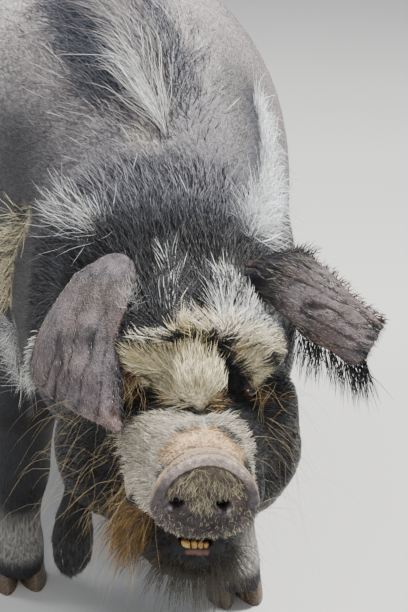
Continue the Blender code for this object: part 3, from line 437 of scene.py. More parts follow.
# A tuft's width at each of its sections, as a share, where it is short and where it is long
SHORT_TAPER = (0.9, 0.75)
LONG_TAPER = (0.85, 1.0, 0.74, 0.55, 0.42, 0.32, 0.25)
# Painted shade along each tuft: how light it is at its root, darkened as if shaded by the coat, and how much
# lighter towards its tip
TUFT_PAINTED_SHADE = (0.42, 0.74)
# The least height of a combed tuft over the skin, and the size of a tuft's patch on the UV map
COAT_CLEARANCE = 0.0006
TUFT_PATCH = 0.003

# Lashes: side, tufts, and their root on the left side
LASHES = {"hair_lash_left": (1, 9), "hair_lash_right": (-1, 20)}
LASH_ROOT = (0.060, 0.114, 0.064)
LASH_SPREAD = (0.009, 0.002, 0.003)
LASH_LENGTH = 0.044
LASH_SEED = 95
WHISKER_SEED = 101
# The longest whiskers, a few at each place: root, direction, length
LONG_WHISKERS = (
    ((-0.050, 0.070, 0.036), (0.05, -0.60, -0.60), 0.120),
    ((-0.060, 0.086, -0.010), (-0.40, -0.50, -0.60), 0.110),
    ((-0.060, 0.084, -0.040), (-0.10, -0.40, -0.90), 0.095),
    ((0.058, 0.104, 0.034), (0.50, -0.50, -0.50), 0.080),
    ((0.046, 0.070, -0.060), (0.60, -0.30, -0.60), 0.060),
)

CAMERA_PLACE = (-0.3901, -2.0590, 1.02)
CAMERA_AZIMUTH = math.radians(-14)
CAMERA_PITCH = math.radians(20)
LENS_PIXELS = 1867.0
FRAME_HEIGHT = 612
SENSOR = 36.0
# Lights: place, what they are turned to, size, power, colour
LIGHTS = {
    "sun": ((0.9, 0.4, 3.1), (0, -0.1, 0.4), 0.6, 240, (1.0, 0.98, 0.94)),
    "front": ((-0.7, -2.7, 2.0), (0, -0.4, 0.4), 1.4, 46, (1.0, 0.97, 0.93)),
    "left": ((-1.9, 1.7, 2.4), (0, 0.0, 0.4), 1.0, 40, (0.97, 0.98, 1.0)),
}
SKY_COLOUR = (0.80, 0.86, 0.95, 1)
SKY_STRENGTH = 0.36
FLOOR_SIZE = 60
FLOOR_TONES = ((0.0, (0.60, 0.60, 0.59)), (1.0, (0.68, 0.68, 0.67)))

BODY = Matrix.Identity(4)
HEAD = (Matrix.Translation(HEAD_PIVOT) @ Matrix.Rotation(-HEAD_TURN, 4, "Z")
        @ Matrix.Rotation(HEAD_TILT, 4, "Y") @ Matrix.Translation(SNOUT_CENTRE - HEAD_PIVOT))
HEAD_AXES = np.array(HEAD.to_3x3())
HEAD_PLACE = np.array(HEAD.translation)


# Small helpers

def linear(name):
    """A named colour as light, from 0 to 1."""
    part = np.array(COLOURS[name]) / 255.0
    return np.where(part <= 0.04045, part / 12.92, ((part + 0.055) / 1.055) ** 2.4)


def to_world(points):
    return points @ HEAD_AXES.T + HEAD_PLACE


def to_head(points):
    return (points - HEAD_PLACE) @ HEAD_AXES


def on_side(point, side):
    """A point or a direction that is given on the left side, on the side asked for."""
    return np.array(point) * (side, 1, 1)


def unit(vectors):
    return vectors / np.maximum(np.linalg.norm(vectors, axis=-1, keepdims=True), 1e-9)


def step(low, high, value):
    """0 below the first limit, 1 above the second, and smooth between them."""
    t = np.clip((value - low) / (high - low), 0.0, 1.0)
    return t * t * (3 - 2 * t)


def bell(value, middle, width):
    """1 at the middle, fading to nothing about two widths away from it."""
    return np.exp(-((value - middle) / width) ** 2)


def blend(first, second, share):
    return first * (1 - share) + second * share


def noise(points, size, seed=0):
    """Smooth noise from -1 to 1 with cells of the given size."""
    p = points / size + seed * 17.31
    cell = np.floor(p).astype(np.int64)
    f = p - cell
    f = f * f * (3 - 2 * f)
    total = np.zeros(len(points))
    for i in (0, 1):
        for j in (0, 1):
            for k in (0, 1):
                key = ((cell[:, 0] + i) * 73856093) ^ ((cell[:, 1] + j) * 19349663) ^ (
                    (cell[:, 2] + k) * 83492791)
                key = (key ^ (key >> 13)) * 1274126177
                value = ((key ^ (key >> 16)) & 0xFFFF) / 32767.5 - 1
                share = (f[:, 0] if i else 1 - f[:, 0]) * (f[:, 1] if j else 1 - f[:, 1])
                total += value * share * (f[:, 2] if k else 1 - f[:, 2])
    return total


def rows_between(rows, count):
    """More rows on a smooth curve through the given ones."""
    points = np.array(rows, float)
    ends = np.vstack([2 * points[0] - points[1], points, 2 * points[-1] - points[-2]])
    made = []
    for place in np.linspace(0, len(points) - 1, count):
        i = min(int(place), len(points) - 2)
        t = place - i
        a, b, c, d = ends[i : i + 4]
        made.append(0.5 * (2 * b + (c - a) * t + (2 * a - 5 * b + 4 * c - d) * t * t
                           + (3 * b - a - 3 * c + d) * t ** 3))
    return np.array(made)


def round_section(half_width, up, down, sides, fullness=2.2, arch=None):
    """Points (across, up) of a rounded section whose upper and lower halves differ."""
    points = []
    for i in range(sides):
        angle = 2 * math.pi * i / sides
        c, s = math.cos(angle), math.sin(angle)
        power = 2 / (arch if arch and s > 0 else fullness)
        across = math.copysign(abs(c) ** power, c) * half_width
        rise = math.copysign(abs(s) ** power, s) * (up if s > 0 else down)
        points.append((across, rise))
    return points


def level_ring(place, half_x, half_y, sides, fullness):
    """A rounded ring that lies level round a place."""
    x, y, z = place
    return [(x + a, y + b, z) for a, b in round_section(half_x, half_y, half_y, sides, fullness)]


def loft(mesh, rings, frame=BODY):
    """A closed tube through rings of points, capped at both ends."""
    made = [[mesh.verts.new(frame @ Vector(p)) for p in ring] for ring in rings]
    sides = len(made[0])
    for near, far in zip(made, made[1:]):
        for i in range(sides):
            j = (i + 1) % sides
            mesh.faces.new((near[i], near[j], far[j], far[i]))
    mesh.faces.new(made[0][::-1])
    mesh.faces.new(made[-1])


def section_rings(rows, count, sides, fullness=2.2, arch=None, widest=0.5):
    """Upright rings from rows of: place along Y, half width, top, bottom."""
    rings = []
    for y, half, top, bottom in rows_between(rows, count):
        middle = bottom + (top - bottom) * widest
        section = round_section(half, top - middle, middle - bottom, sides, fullness, arch)
        rings.append([(x, y, middle + z) for x, z in section])
    return rings


def ball(mesh, centre, radii, frame=BODY, fineness=24):
    place = frame @ Matrix.Translation(centre) @ Matrix.Diagonal((*radii, 1.0))
    bmesh.ops.create_uvsphere(mesh, u_segments=fineness, v_segments=fineness // 2,
                              radius=1.0, matrix=place)


def add_object(name, data):
    obj = bpy.data.objects.new(name, data)
    bpy.context.scene.collection.objects.link(obj)
    return obj


def mesh_object(name, build):
    """An object from a function that fills a bmesh, with its faces pointing out."""
    made = bmesh.new()
    build(made)
    bmesh.ops.recalc_face_normals(made, faces=made.faces)
    mesh = bpy.data.meshes.new(name)
    made.to_mesh(mesh)
    made.free()
    mesh.shade_smooth()
    return add_object(name, mesh)


def settle(obj):
    """The object with its modifiers made real."""
    graph = bpy.context.evaluated_depsgraph_get()
    mesh = bpy.data.meshes.new_from_object(obj.evaluated_get(graph))
    obj.modifiers.clear()
    obj.data = mesh
    mesh.shade_smooth()
    return obj


def points_of(mesh):
    found = np.zeros(len(mesh.vertices) * 3, np.float32)
    mesh.vertices.foreach_get("co", found)
    return found.reshape(-1, 3).astype(float)


def normals_of(mesh):
    found = np.zeros(len(mesh.vertices) * 3, np.float32)
    mesh.vertex_normals.foreach_get("vector", found)
    return found.reshape(-1, 3).astype(float)


def place_points(mesh, points):
    mesh.vertices.foreach_set("co", points.astype(np.float32).ravel())
    mesh.update()


def paint(mesh, colours):
    """A colour at each vertex, for the skin and the coat alike."""
    layer = mesh.color_attributes.new("coat_colour", "FLOAT_COLOR", "POINT")
    full = np.ones((len(colours), 4), np.float32)
    full[:, :3] = colours
    layer.data.foreach_set("color", full.ravel())


# The skin

def twins(forms):
    for centre, radii in forms:
        yield centre, radii
        if centre[0]:
            yield (-centre[0], *centre[1:]), radii


def leg_rings(profile, top, foot, count=22, sides=20):
    rings = []
    high, low = profile[0][0], profile[-1][0]
    for z, back, half_x, half_y in rows_between(profile, count):
        lean = (high - z) / (high - low)
        x = top[0] + (foot[0] - top[0]) * lean
        y = top[1] + (foot[1] - top[1]) * lean + back
        rings.append(level_ring((x, y, z), half_x, half_y, sides, 2.1))
    return rings


def tail_rings(count=14, sides=12):
    line = rows_between(TAIL, count)
    radii = rows_between([(r,) for r in TAIL_RADII], count)[:, 0]
    rings = []
    for i, (place, radius) in enumerate(zip(line, radii)):
        ahead = Vector(line[min(i + 1, count - 1)] - line[max(i - 1, 0)]).normalized()
        across = Vector((1, 0, 0))
        up = ahead.cross(across).normalized()
        rings.append([Vector(place) + across * math.cos(a) * radius + up * math.sin(a) * radius
                      for a in (2 * math.pi * k / sides for k in range(sides))])
    return rings


def build_body(mesh):
    trunk = [(y, half, top, bottom) for y, top, bottom, half in TRUNK]
    loft(mesh, section_rings(trunk, *TRUNK_GRID, widest=TRUNK_WIDEST))
    loft(mesh, tail_rings())
    for profile, top, foot in LEGS.values():
        loft(mesh, leg_rings(profile, top, foot))
    for centre, radii in twins(BODY_FORMS):
        ball(mesh, centre, radii)
    for centre, radii in twins(HEAD_FORMS):
        ball(mesh, centre, radii, HEAD)
    for rows in (MUZZLE, JAW):
        loft(mesh, section_rings(rows, *HEAD_GRID), HEAD)


def smooth_creases(obj):
    """Smooths the creases between the forms, most of all along the trunk."""
    points = points_of(obj.data)
    share = np.clip((points[:, 1] + 0.46) / 0.12, 0, 1) * np.clip(points[:, 2] / 0.25, 0, 1)
    share *= 1 - step(0.596, 0.606, points[:, 1])
    trunk = obj.vertex_groups.new(name="trunk")
    for i, weight in enumerate(share * share):
        trunk.add([i], float(weight), "REPLACE")
    for group, rounds in (("", SKIN_ROUNDS), ("trunk", TRUNK_ROUNDS)):
        smooth = obj.modifiers.new("soft creases", "SMOOTH")
        smooth.factor = 0.5
        smooth.iterations = rounds
        smooth.vertex_group = group


def refine(obj, chosen):
    """Splits the edges whose two ends are chosen, for finer skin there."""
    made = bmesh.new()
    made.from_mesh(obj.data)
    made.verts.ensure_lookup_table()
    edges = [e for e in made.edges if chosen[e.verts[0].index] and chosen[e.verts[1].index]]
    bmesh.ops.subdivide_edges(made, edges=edges, cuts=1, use_grid_fill=True)
    bmesh.ops.triangulate(made, faces=[f for f in made.faces if len(f.verts) > 4])
    made.to_mesh(obj.data)
    made.free()


def build_skin():
    """One skin over the whole body, made finer on the face before its features are pressed in."""
    skin = mesh_object("pig_skin", build_body)
    remesh = skin.modifiers.new("one skin", "REMESH")
    remesh.mode = "VOXEL"
    remesh.voxel_size = SKIN_VOXEL
    settle(skin)
    smooth_creases(skin)
    settle(skin)
    skin.vertex_groups.clear()
    drop_inner_shells(skin)
    points = points_of(skin.data)
    front, back, low = RUMP_SPAN
    ease(skin, RUMP_ROUNDS, (points[:, 1] > front) & (points[:, 1] < back) & (points[:, 2] > low))
    refine(skin, to_head(points_of(skin.data))[:, 1] < FINE_DEPTH)
    refine(skin, near_features(to_head(points_of(skin.data))))
    ease(skin, HEAD_ROUNDS, to_head(points_of(skin.data))[:, 1] < EASED_DEPTH)
    place_points(skin.data, points_of(skin.data) - normals_of(skin.data) * COAT_DEPTH)
    shape_head(skin)
    return skin


def drop_inner_shells(obj):
    """Keeps the connected surface with the most vertices."""
    made = bmesh.new()
    made.from_mesh(obj.data)
    made.verts.ensure_lookup_table()
    seen = np.zeros(len(made.verts), bool)
    groups = []
    for start in made.verts:
        if seen[start.index]:
            continue
        seen[start.index] = True
        stack, group = [start], [start]
        while stack:
            for edge in stack.pop().link_edges:
                for vert in edge.verts:
                    if not seen[vert.index]:
                        seen[vert.index] = True
                        stack.append(vert)
                        group.append(vert)
        groups.append(group)
    groups.sort(key=len)
    for group in groups[:-1]:
        bmesh.ops.delete(made, geom=group, context="VERTS")
    made.to_mesh(obj.data)
    made.free()


def near_features(local):
    """The vertices near the eyes, the mouth and the snout's bridge."""
    near = (local[:, 1] < 0.045) & (np.abs(local[:, 0]) < 0.050)
    for side in (1, -1):
        near |= np.linalg.norm(local - on_side(EYE_CENTRE, side), axis=1) < 0.026
    return near


def ease(obj, rounds, chosen):
    """Moves each chosen vertex towards the middle of its neighbours."""
    mesh = obj.data
    ends = np.zeros(len(mesh.edges) * 2, np.int64)
    mesh.edges.foreach_get("vertices", ends)
    a, b = ends.reshape(-1, 2).T
    points = points_of(mesh)
    count = np.bincount(np.concatenate([a, b]), minlength=len(points))[:, None]
    for _ in range(rounds):
        total = np.zeros_like(points)
        np.add.at(total, a, points[b])
        np.add.at(total, b, points[a])
        eased = 0.4 * points + 0.6 * total / np.maximum(count, 1)
        points = np.where(chosen[:, None], eased, points)
    place_points(mesh, points)


def eye_axes(side):
    """The eye's centre and its directions: towards the outer corner, up, and out."""
    out = unit(on_side(EYE_FACING, side))
    along = unit(np.cross(np.array((0, 0, 1.0)), out)) * side
    up = unit(np.cross(out, along)) * side
    return on_side(EYE_CENTRE, side), along, up, out


def shape_head(skin):
    """Folds, hollows, lids, the line of the mouth and the wrinkles above the snout."""
    mesh = skin.data
    normals = unit(normals_of(mesh) @ HEAD_AXES)
    p = to_head(points_of(mesh))
    push = np.zeros(len(p))
    for centre, radii, depth, paired in HEAD_DENTS:
        for side in (1, -1) if paired else (1,):
            away = (p - on_side(centre, side)) / radii
            push -= depth * np.exp(-(away ** 2).sum(1))
    middle, width, pitch, depth = WRINKLES
    band = bell(p[:, 1], middle, width) * step(0.012, 0.026, p[:, 2])
    waver = 0.0012 * noise(p, 0.012, 3)
    push += depth * band * np.cos(2 * math.pi * (p[:, 1] + waver + p[:, 0] ** 2 * 3) / pitch)
    to_mouth = to_line(p, MOUTH)
    push -= 0.0030 * bell(to_mouth, 0, 0.0030)
    push += 0.0016 * bell(to_mouth, 0.0065, 0.0035)
    push += (0.0014 * noise(p, 0.030, 5) + 0.0006 * noise(p, 0.011, 6)) * step(0.02, 0.06, p[:, 1])
    p = open_mouth(p + normals * (push * (p[:, 1] < HEAD_END))[:, None])
    for side in (1, -1):
        p = open_lids(p, side)
    place_points(mesh, to_world(p))


def to_segment(points, a, b):
    """Each point's distance to the line between two places, and how far along that it is."""
    a, b = np.array(a), np.array(b)
    t = np.clip((points - a) @ (b - a) / ((b - a) @ (b - a)), 0, 1)
    return np.linalg.norm(points - a - t[:, None] * (b - a), axis=1), t


def to_line(points, line):
    """Each point's distance to a line of places that is given on the left side."""
    left = points.copy()
    left[:, 0] = np.abs(left[:, 0])
    return np.min([to_segment(left, a, b)[0] for a, b in zip(line, line[1:])], axis=0)


def open_mouth(p):
    """The short gap in front in which the lower teeth show."""
    centre, radii = (np.array(v) for v in MOUTH_GAP)
    away = (p - centre) / radii
    flat = away[:, 0] ** 2 + away[:, 2] ** 2
    inside = (flat < 1) & (p[:, 1] < centre[1] + radii[1]) & (p[:, 1] > -0.01)
    depth = centre[1] + radii[1] * np.sqrt(np.clip(1 - flat, 0, 1))
    p[:, 1] = np.where(inside, np.maximum(p[:, 1], depth), p[:, 1])
    return p


def open_lids(p, side):
    """Lids stand out over the eye, and the skin sinks behind it where they open."""
    centre, along, up, out = eye_axes(side)
    away = p - centre
    far = np.linalg.norm(away, axis=1)
    facing = away @ out
    lid = (far < LID_RADIUS + 0.004) & (facing > -0.004)
    reach = np.where(lid, np.maximum(far, LID_RADIUS), far)
    a = away @ along / EYE_OPENING[0]
    b = (away @ up + 0.0008) / EYE_OPENING[1]
    inside = (a * a + np.abs(b) ** 1.7 < 1) & (facing > 0)
    reach = np.where(inside & (far < LID_RADIUS + 0.006), EYE_RADIUS - 0.0022, reach)
    return centre + away / np.maximum(far, 1e-6)[:, None] * reach[:, None]


# Colour of the coat and the skin

def to_marks(points, local):
    """For each marking, its colour and how far each point lies inside it: 1 inside, 0 outside."""
    waver = 0.22 * noise(points, 0.016, 1) + 0.16 * noise(points, 0.006, 2)
    for frame, line, radii, colour, density in MARKS:
        place = local if frame == "head" else points
        best = np.full(len(points), 9.0)
        for a, b, near, far in zip(line, line[1:], radii, radii[1:]):
            gap, t = to_segment(place, a, b)
            best = np.minimum(best, gap / (near + (far - near) * t))
        yield colour, density * (1 - step(0.65, 1.25, best + waver))


def base_colour(points, local):
    """Grey back and sides, a darker neck, and black head, belly and legs; painted shade darkens the lower
    body and the sides of the neck and shoulders.
    """
    x, y, z = points.T
    patch = 0.5 * noise(points, 0.10, 7) + 0.3 * noise(points, 0.035, 8)
    colour = blend(linear("grizzle"), linear("brindle"), (0.5 + 0.5 * patch)[:, None] * 0.55)
    neck = 0.46 * (1 - step(-0.34, -0.12, y + 0.08 * patch))
    neck += 0.38 * (1 - step(-0.38, -0.29, y + 0.06 * patch))
    neck += 0.20 * (1 - step(-0.42, -0.38, y + 0.04 * patch))
    # Darker towards the belly: partly the belly's dark coat, partly painted shade down the flanks
    low = 1 - step(0.26, 0.46, z + 0.08 * patch)
    dark = np.clip(np.maximum(neck, low) + 0.30 * patch * (1 - low), 0, 1)[:, None]
    colour = blend(colour, linear("slate"), dark)
    head = 1 - step(0.215, 0.275, local[:, 1] + 0.03 * patch)
    legs = 1 - step(0.20, 0.30, z)
    # Painted shade: the sides of the neck and shoulders, below the top, go nearly black
    side = step(0.070, 0.140, np.abs(x) - 0.03 * patch)
    side *= 1 - step(-0.24, -0.06, y + 0.07 * patch)
    side *= 1 - step(0.545, 0.640, z + 0.05 * patch)
    black_coat_and_painted_shade = np.max([head, legs, 0.6 * low, 0.86 * side], axis=0)[:, None]
    colour = blend(colour, linear("black"), black_coat_and_painted_shade)
    sock = step(-0.1, 0.5, noise(points, 0.05, 9) + 0.4)
    sock *= 0.8 * (1 - step(0.06, 0.11, z)) * step(0.030, 0.045, z)
    sock *= np.where(x < 0, 0.55, 1.0)
    return blend(colour, linear("sock"), sock[:, None])


def skin_colour(points):
    """The skin's colour: darker than the coat's, with the same markings."""
    local = to_head(points)
    colour = base_colour(points, local) * 0.7
    for name, share in to_marks(points, local):
        share = np.clip(SKIN_SHARES.get(name, SKIN_SHARE) * share, 0, 1)[:, None]
        colour = blend(colour, linear(name), share)
    return colour


def hair_colour(points, rng, white_share=1.0):
    """One colour for each hair: the markings mix hair by hair, in small streaks."""
    local = to_head(points)
    colour = base_colour(points, local)
    count = len(points)
    streak = 0.5 + 0.5 * noise(points * (1.0, 0.35, 0.5), 0.0035, 11)
    pick = 0.55 * rng.random(count) + 0.45 * streak
    pale = (rng.random(count) < 0.30)[:, None]
    colour = np.where(pale, colour * 1.7 + 0.03, colour * 0.75)
    for name, share in to_marks(points, local):
        if name in ("lip", "mouth"):
            continue
        share = share * (white_share if name in ("white", "collar") else 0.95)
        colour = np.where((pick < share)[:, None], linear(name), colour)
        pick = 0.5 * pick + 0.5 * (0.55 * rng.random(count) + 0.45 * streak)
    warm = rng.normal(0, 0.05, count)[:, None] * (1.0, 0.0, -1.0)
    light = rng.normal(0, 0.36, count) + 0.30 * noise(points, 0.007, 12)
    return colour * (1 + warm) * np.exp(light)[:, None]


def mixed_tones(rng, count, share, first, second, spread):
    """One of two colours for each hair, each a little lighter or darker than the next."""
    tone = np.where((rng.random(count) < share)[:, None], first, second)
    return tone * np.exp(rng.normal(0, spread, count))[:, None]


# The coat

def scatter(mesh, count, weight, rng):
    """Random places on a mesh, with its smooth normal there; a weight thins them out."""
    mesh.calc_loop_triangles()
    tri = np.zeros(len(mesh.loop_triangles) * 3, np.int64)
    mesh.loop_triangles.foreach_get("vertices", tri)
    tri = tri.reshape(-1, 3)
    points, normals = points_of(mesh), normals_of(mesh)
    a, b, c = points[tri[:, 0]], points[tri[:, 1]], points[tri[:, 2]]
    area = np.linalg.norm(np.cross(b - a, c - a), axis=1) * weight((a + b + c) / 3)
    total = np.cumsum(area)
    pick = np.searchsorted(total, (np.arange(count) + rng.random(count)) / count * total[-1])
    pick = np.minimum(pick, len(tri) - 1)
    r, s = rng.random(count), rng.random(count)
    over = r + s > 1
    r, s = np.where(over, 1 - r, r), np.where(over, 1 - s, s)
    share = np.stack([1 - r - s, r, s], 1)[:, :, None]
    return (points[tri[pick]] * share).sum(1), unit((normals[tri[pick]] * share).sum(1))


def lie_of_coat(points):
    """The way the hair lies: back along the body, down the legs, and in fans on the face."""
    local = to_head(points)
    side = np.tanh(points[:, 0] / 0.05)
    flow = np.stack([-0.10 + 0.10 * side, np.ones(len(points)), -0.30 * np.abs(side)], 1)
    crest = bell(points[:, 0], 0, 0.05) * step(0.42, 0.50, points[:, 2])
    flow[:, 0] -= crest * 0.35 * (1 - step(-0.10, 0.05, points[:, 1]))
    legs = (1 - step(0.19, 0.30, points[:, 2]))[:, None]
    flow = blend(flow, np.array((0, 0.15, -1.0)), legs)
    head = (1 - step(0.24, 0.31, local[:, 1]))[:, None]
    return unit(blend(flow, lie_of_head(local) @ HEAD_AXES.T, head))


def lie_of_head(local):
    """Back and down on the cheeks, away from the brow and the bridge, and out on the muzzle."""
    x, d, z = local.T
    lie = np.stack([0.25 * np.sign(x), np.full(len(x), 0.75), np.full(len(x), -0.62)], 1)
    lie = blend(lie, unit(local - BROW_ROOT), step(0.088, 0.104, z)[:, None])
    bridge = step(0.050, 0.058, z) * (1 - step(0.088, 0.102, z)) * (1 - step(0.055, 0.075, np.abs(x)))
    lie = blend(lie, unit(local - BRIDGE_ROOT), bridge[:, None])
    muzzle = (1 - step(0.075, 0.100, d)) * step(-0.06, -0.02, z) * (1 - step(0.048, 0.060, z))
    drop = 0.25 - 0.9 * step(0.03, -0.03, z)
    outward = np.stack([np.sign(x) * 0.8, np.full(len(x), 0.35), drop], 1)
    lie = blend(lie, outward, muzzle[:, None])
    for share, root in forehead_fans(local):
        fan = unit((local - root) * (1.0, 0.8, 0.5) + (0.0, 0.020, 0.006))
        lie = blend(lie, fan, share)
    return unit(lie)


def forehead_fans(local):
    """How far each point belongs to each fan on the forehead, and the fan's root."""
    outer = 0.020 * step(0.045, 0.070, local[:, 0])
    high = step(0.098, 0.110, local[:, 2] + outer) * step(0.112, 0.124, local[:, 1])
    high *= 1 - step(0.22, 0.26, local[:, 1])
    right = 1 - step(-0.016, -0.002, local[:, 0])
    for side, root in zip((right, 1 - right), FAN_ROOTS):
        yield (high * side)[:, None], np.array(root)


def root_places(points):
    """Each root's place on an unwrap of the skin: round the trunk, the head and each leg."""
    local = to_head(points)
    x, y, z = points.T

    def round_turn(across, up):
        return np.arctan2(across, up) / (2 * math.pi) + 0.5

    uv = np.stack([0.02 + 0.96 * round_turn(x, z - 0.40), 0.02 + 0.50 * (y + 0.45) / 1.15], 1)
    head = local[:, 1] < 0.285
    roll = round_turn(local[:, 0], local[:, 2] - 0.01)
    uv[head] = np.stack([0.02 + 0.96 * roll, 0.56 + 0.26 * (local[:, 1] + 0.02) / 0.31], 1)[head]
    low = (z < 0.20) & ~head
    for i, (_, _, foot) in enumerate(LEGS.values()):
        near = low & (np.sign(x) == np.sign(foot[0])) & ((y < 0.1) == (foot[1] < 0.1))
        spin = round_turn(x - foot[0], y - foot[1])
        uv[near] = np.stack([0.02 + 0.24 * i + 0.22 * spin, 0.84 + 0.14 * z / 0.2], 1)[near]
    return np.clip(uv, 0.001, 0.995)


def grow(name, roots, normals, lies, length, width, lift, colours, rng, sections=2, tree=None,
         curl=0.0, bend=0.16, droop=0.0, sink=0.0012, spread=0.12, clump=1.0):
    """One piece of coat: a tapered, three-sided tuft for each root, along its lie.

    With a tree of the skin's surface, each tuft follows that surface and rises by its lift.
    """
    count = len(roots)
    length = np.broadcast_to(np.asarray(length, float), (count,)) * np.exp(rng.normal(0, 0.16, count))
    lies = lies + rng.normal(0, 1, (count, 3)) * spread
    for share, size, seed in ((0.32, 0.014, 20), (0.22, 0.005, 24)):
        lies += share * clump * np.stack([noise(roots, size, seed + i) for i in range(3)], 1)
    lies = unit(lies - normals * (lies * normals).sum(1)[:, None])
    side = unit(np.cross(lies, normals))
    phase = rng.random(count) * 2 * math.pi
    bend = (rng.normal(0, 1, count) * bend)[:, None]
    path = np.zeros((count, sections + 1, 3))
    path[:, 0] = roots - normals * sink
    ahead, out = lies.copy(), normals.copy()
    reach = (length / sections)[:, None]
    for k in range(1, sections + 1):
        t = k / sections
        wave = curl * np.sin(phase + 2.4 * math.pi * t)
        ahead = unit(ahead + side * (bend / sections + wave[:, None]) + np.array((0, 0, -droop * t)))
        free = path[:, k - 1] + ahead * reach + out * (lift * length / sections)[:, None]
        if tree is not None:
            rise = lift * length * (1 - (1 - t) ** 2)
            free, out = keep_outside(free, tree, out, rise + COAT_CLEARANCE)
        path[:, k] = free
    return strand_mesh(name, path, normals, width, colours, root_places(roots))


def keep_outside(free, tree, out, height):
    """Lays points over the surface at their height above it."""
    near = [tree.find_nearest(point)[:2] for point in free]
    places, outs = (np.array([found[i] for found in near]) for i in (0, 1))
    outs = unit(out + 1.2 * outs)
    return places + outs * height[:, None], outs


def strand_mesh(name, path, normals, width, colours, root_uv):
    """The tufts' mesh: three corners at each section but the last, which is the tip."""
    count, rows = path.shape[:2]
    last = rows - 1
    width = np.broadcast_to(np.asarray(width, float), (count,))
    taper = LONG_TAPER if last > 2 else SHORT_TAPER
    verts = []
    for k in range(last):
        ahead = unit(path[:, k + 1] - path[:, max(k - 1, 0)])
        across = unit(np.cross(ahead, normals) + 1e-6)
        up = np.cross(across, ahead)
        half = (width * taper[k] / 2)[:, None]
        verts += [path[:, k] - across * half, path[:, k] + across * half, path[:, k] + up * half * 0.9]
    verts.append(path[:, last])
    points = np.stack(verts, 1)
    faces, along = strand_faces(last)
    each = points.shape[1]
    corner = (faces[None] + (np.arange(count) * each)[:, None, None]).reshape(-1)
    mesh = bpy.data.meshes.new(name)
    mesh.vertices.add(count * each)
    mesh.vertices.foreach_set("co", points.reshape(-1).astype(np.float32))
    mesh.loops.add(len(corner))
    mesh.loops.foreach_set("vertex_index", corner.astype(np.int32))
    mesh.polygons.add(len(corner) // 3)
    mesh.polygons.foreach_set("loop_start", np.arange(0, len(corner), 3, dtype=np.int32))
    mesh.polygons.foreach_set("use_smooth", np.ones(len(corner) // 3, bool))
    mesh.update(calc_edges=True)
    # Painted shade: each tuft darker at its root and lighter towards its tip
    shade = TUFT_PAINTED_SHADE[0] + TUFT_PAINTED_SHADE[1] * along
    paint(mesh, (colours[:, None, :] * shade[None, :, None]).reshape(-1, 3))
    patch = np.stack([along, np.tile((0.0, 1.0, 0.5), last + 1)[:each]], 1) * TUFT_PATCH
    uv = (root_uv[:, None, :] + patch[None]).reshape(-1, 2)[corner]
    layer = mesh.uv_layers.new(name="OFBake")
    layer.data.foreach_set("uv", uv.astype(np.float32).ravel())
    return add_object(name, mesh)


def strand_faces(last):
    """Triangles of one tuft, and how far along it each vertex is."""
    faces = [(0, 1, 2)]
    for k in range(last - 1):
        for i in range(3):
            a, b = 3 * k + i, 3 * k + (i + 1) % 3
            faces += [(a, a + 3, b), (b, a + 3, b + 3)]
    tip = 3 * last
    for i in range(3):
        faces.append((3 * (last - 1) + i, tip, 3 * (last - 1) + (i + 1) % 3))
    along = np.array([k // 3 for k in range(3 * last)] + [last]) / last
    return np.array(faces), along


# Materials

def new_material(name, **values):
    """A material, its nodes and links, and its shader with the named values set."""
    material = bpy.data.materials.new(name)
    material.use_nodes = True
    nodes = material.node_tree.nodes
    shader = nodes["Principled BSDF"]
    set_inputs(shader, values)
    return material, nodes, material.node_tree.links, shader


def set_inputs(node, values):
    """Sets a node's inputs by their names, with an underscore for each space."""
    for label, value in values.items():
        node.inputs[label.replace("_", " ")].default_value = value


def add_node(nodes, kind, operation=None, **values):
    node = nodes.new("ShaderNode" + kind)
    if operation:
        node.operation = operation
    set_inputs(node, values)
    return node


def kept_value(nodes, name, output):
    """A value that the mesh keeps at each vertex."""
    node = add_node(nodes, "Attribute")
    node.attribute_name = name
    return node.outputs[output]


def fine_relief():
    """A shared effect: streaks along the coat and fine pores, for colour and for relief."""
    group = bpy.data.node_groups.new("fine relief", "ShaderNodeTree")
    face = group.interface
    face.new_socket("Place", in_out="INPUT", socket_type="NodeSocketVector")
    for label, size in (("Streak Size", 400.0), ("Streak Length", 70.0), ("Pore Size", 900.0)):
        socket = face.new_socket(label, in_out="INPUT", socket_type="NodeSocketFloat")
        socket.default_value = size
    for label in ("Streaks", "Height"):
        face.new_socket(label, in_out="OUTPUT", socket_type="NodeSocketFloat")
    nodes, links = group.nodes, group.links
    source, sink = nodes.new("NodeGroupInput"), nodes.new("NodeGroupOutput")
    scale = add_node(nodes, "CombineXYZ")
    stretch = add_node(nodes, "VectorMath", "MULTIPLY")
    streaks = add_node(nodes, "TexNoise", Scale=1.0, Detail=3.0, Roughness=0.65)
    pores = add_node(nodes, "TexVoronoi")
    add = add_node(nodes, "Math", "MULTIPLY_ADD")
    add.inputs[1].default_value = 0.35
    for axis, label in (("X", "Streak Size"), ("Y", "Streak Length"), ("Z", "Streak Size")):
        links.new(source.outputs[label], scale.inputs[axis])
    links.new(source.outputs["Place"], stretch.inputs[0])
    links.new(scale.outputs[0], stretch.inputs[1])
    links.new(stretch.outputs[0], streaks.inputs["Vector"])
    links.new(source.outputs["Place"], pores.inputs["Vector"])
    links.new(source.outputs["Pore Size"], pores.inputs["Scale"])
    links.new(pores.outputs["Distance"], add.inputs[0])
    links.new(streaks.outputs["Fac"], add.inputs[2])
    links.new(streaks.outputs["Fac"], sink.inputs["Streaks"])
    links.new(add.outputs[0], sink.inputs["Height"])
    return group


def relief_node(nodes, links, group, place, sizes):
    """The shared effect at a place, with its sizes: streaks across, streaks along, pores."""
    node = add_node(nodes, "Group")
    node.node_tree = group
    set_inputs(node, dict(zip(("Streak_Size", "Streak_Length", "Pore_Size"), sizes)))
    links.new(place, node.inputs["Place"])
    return node.outputs["Streaks"], node.outputs["Height"]


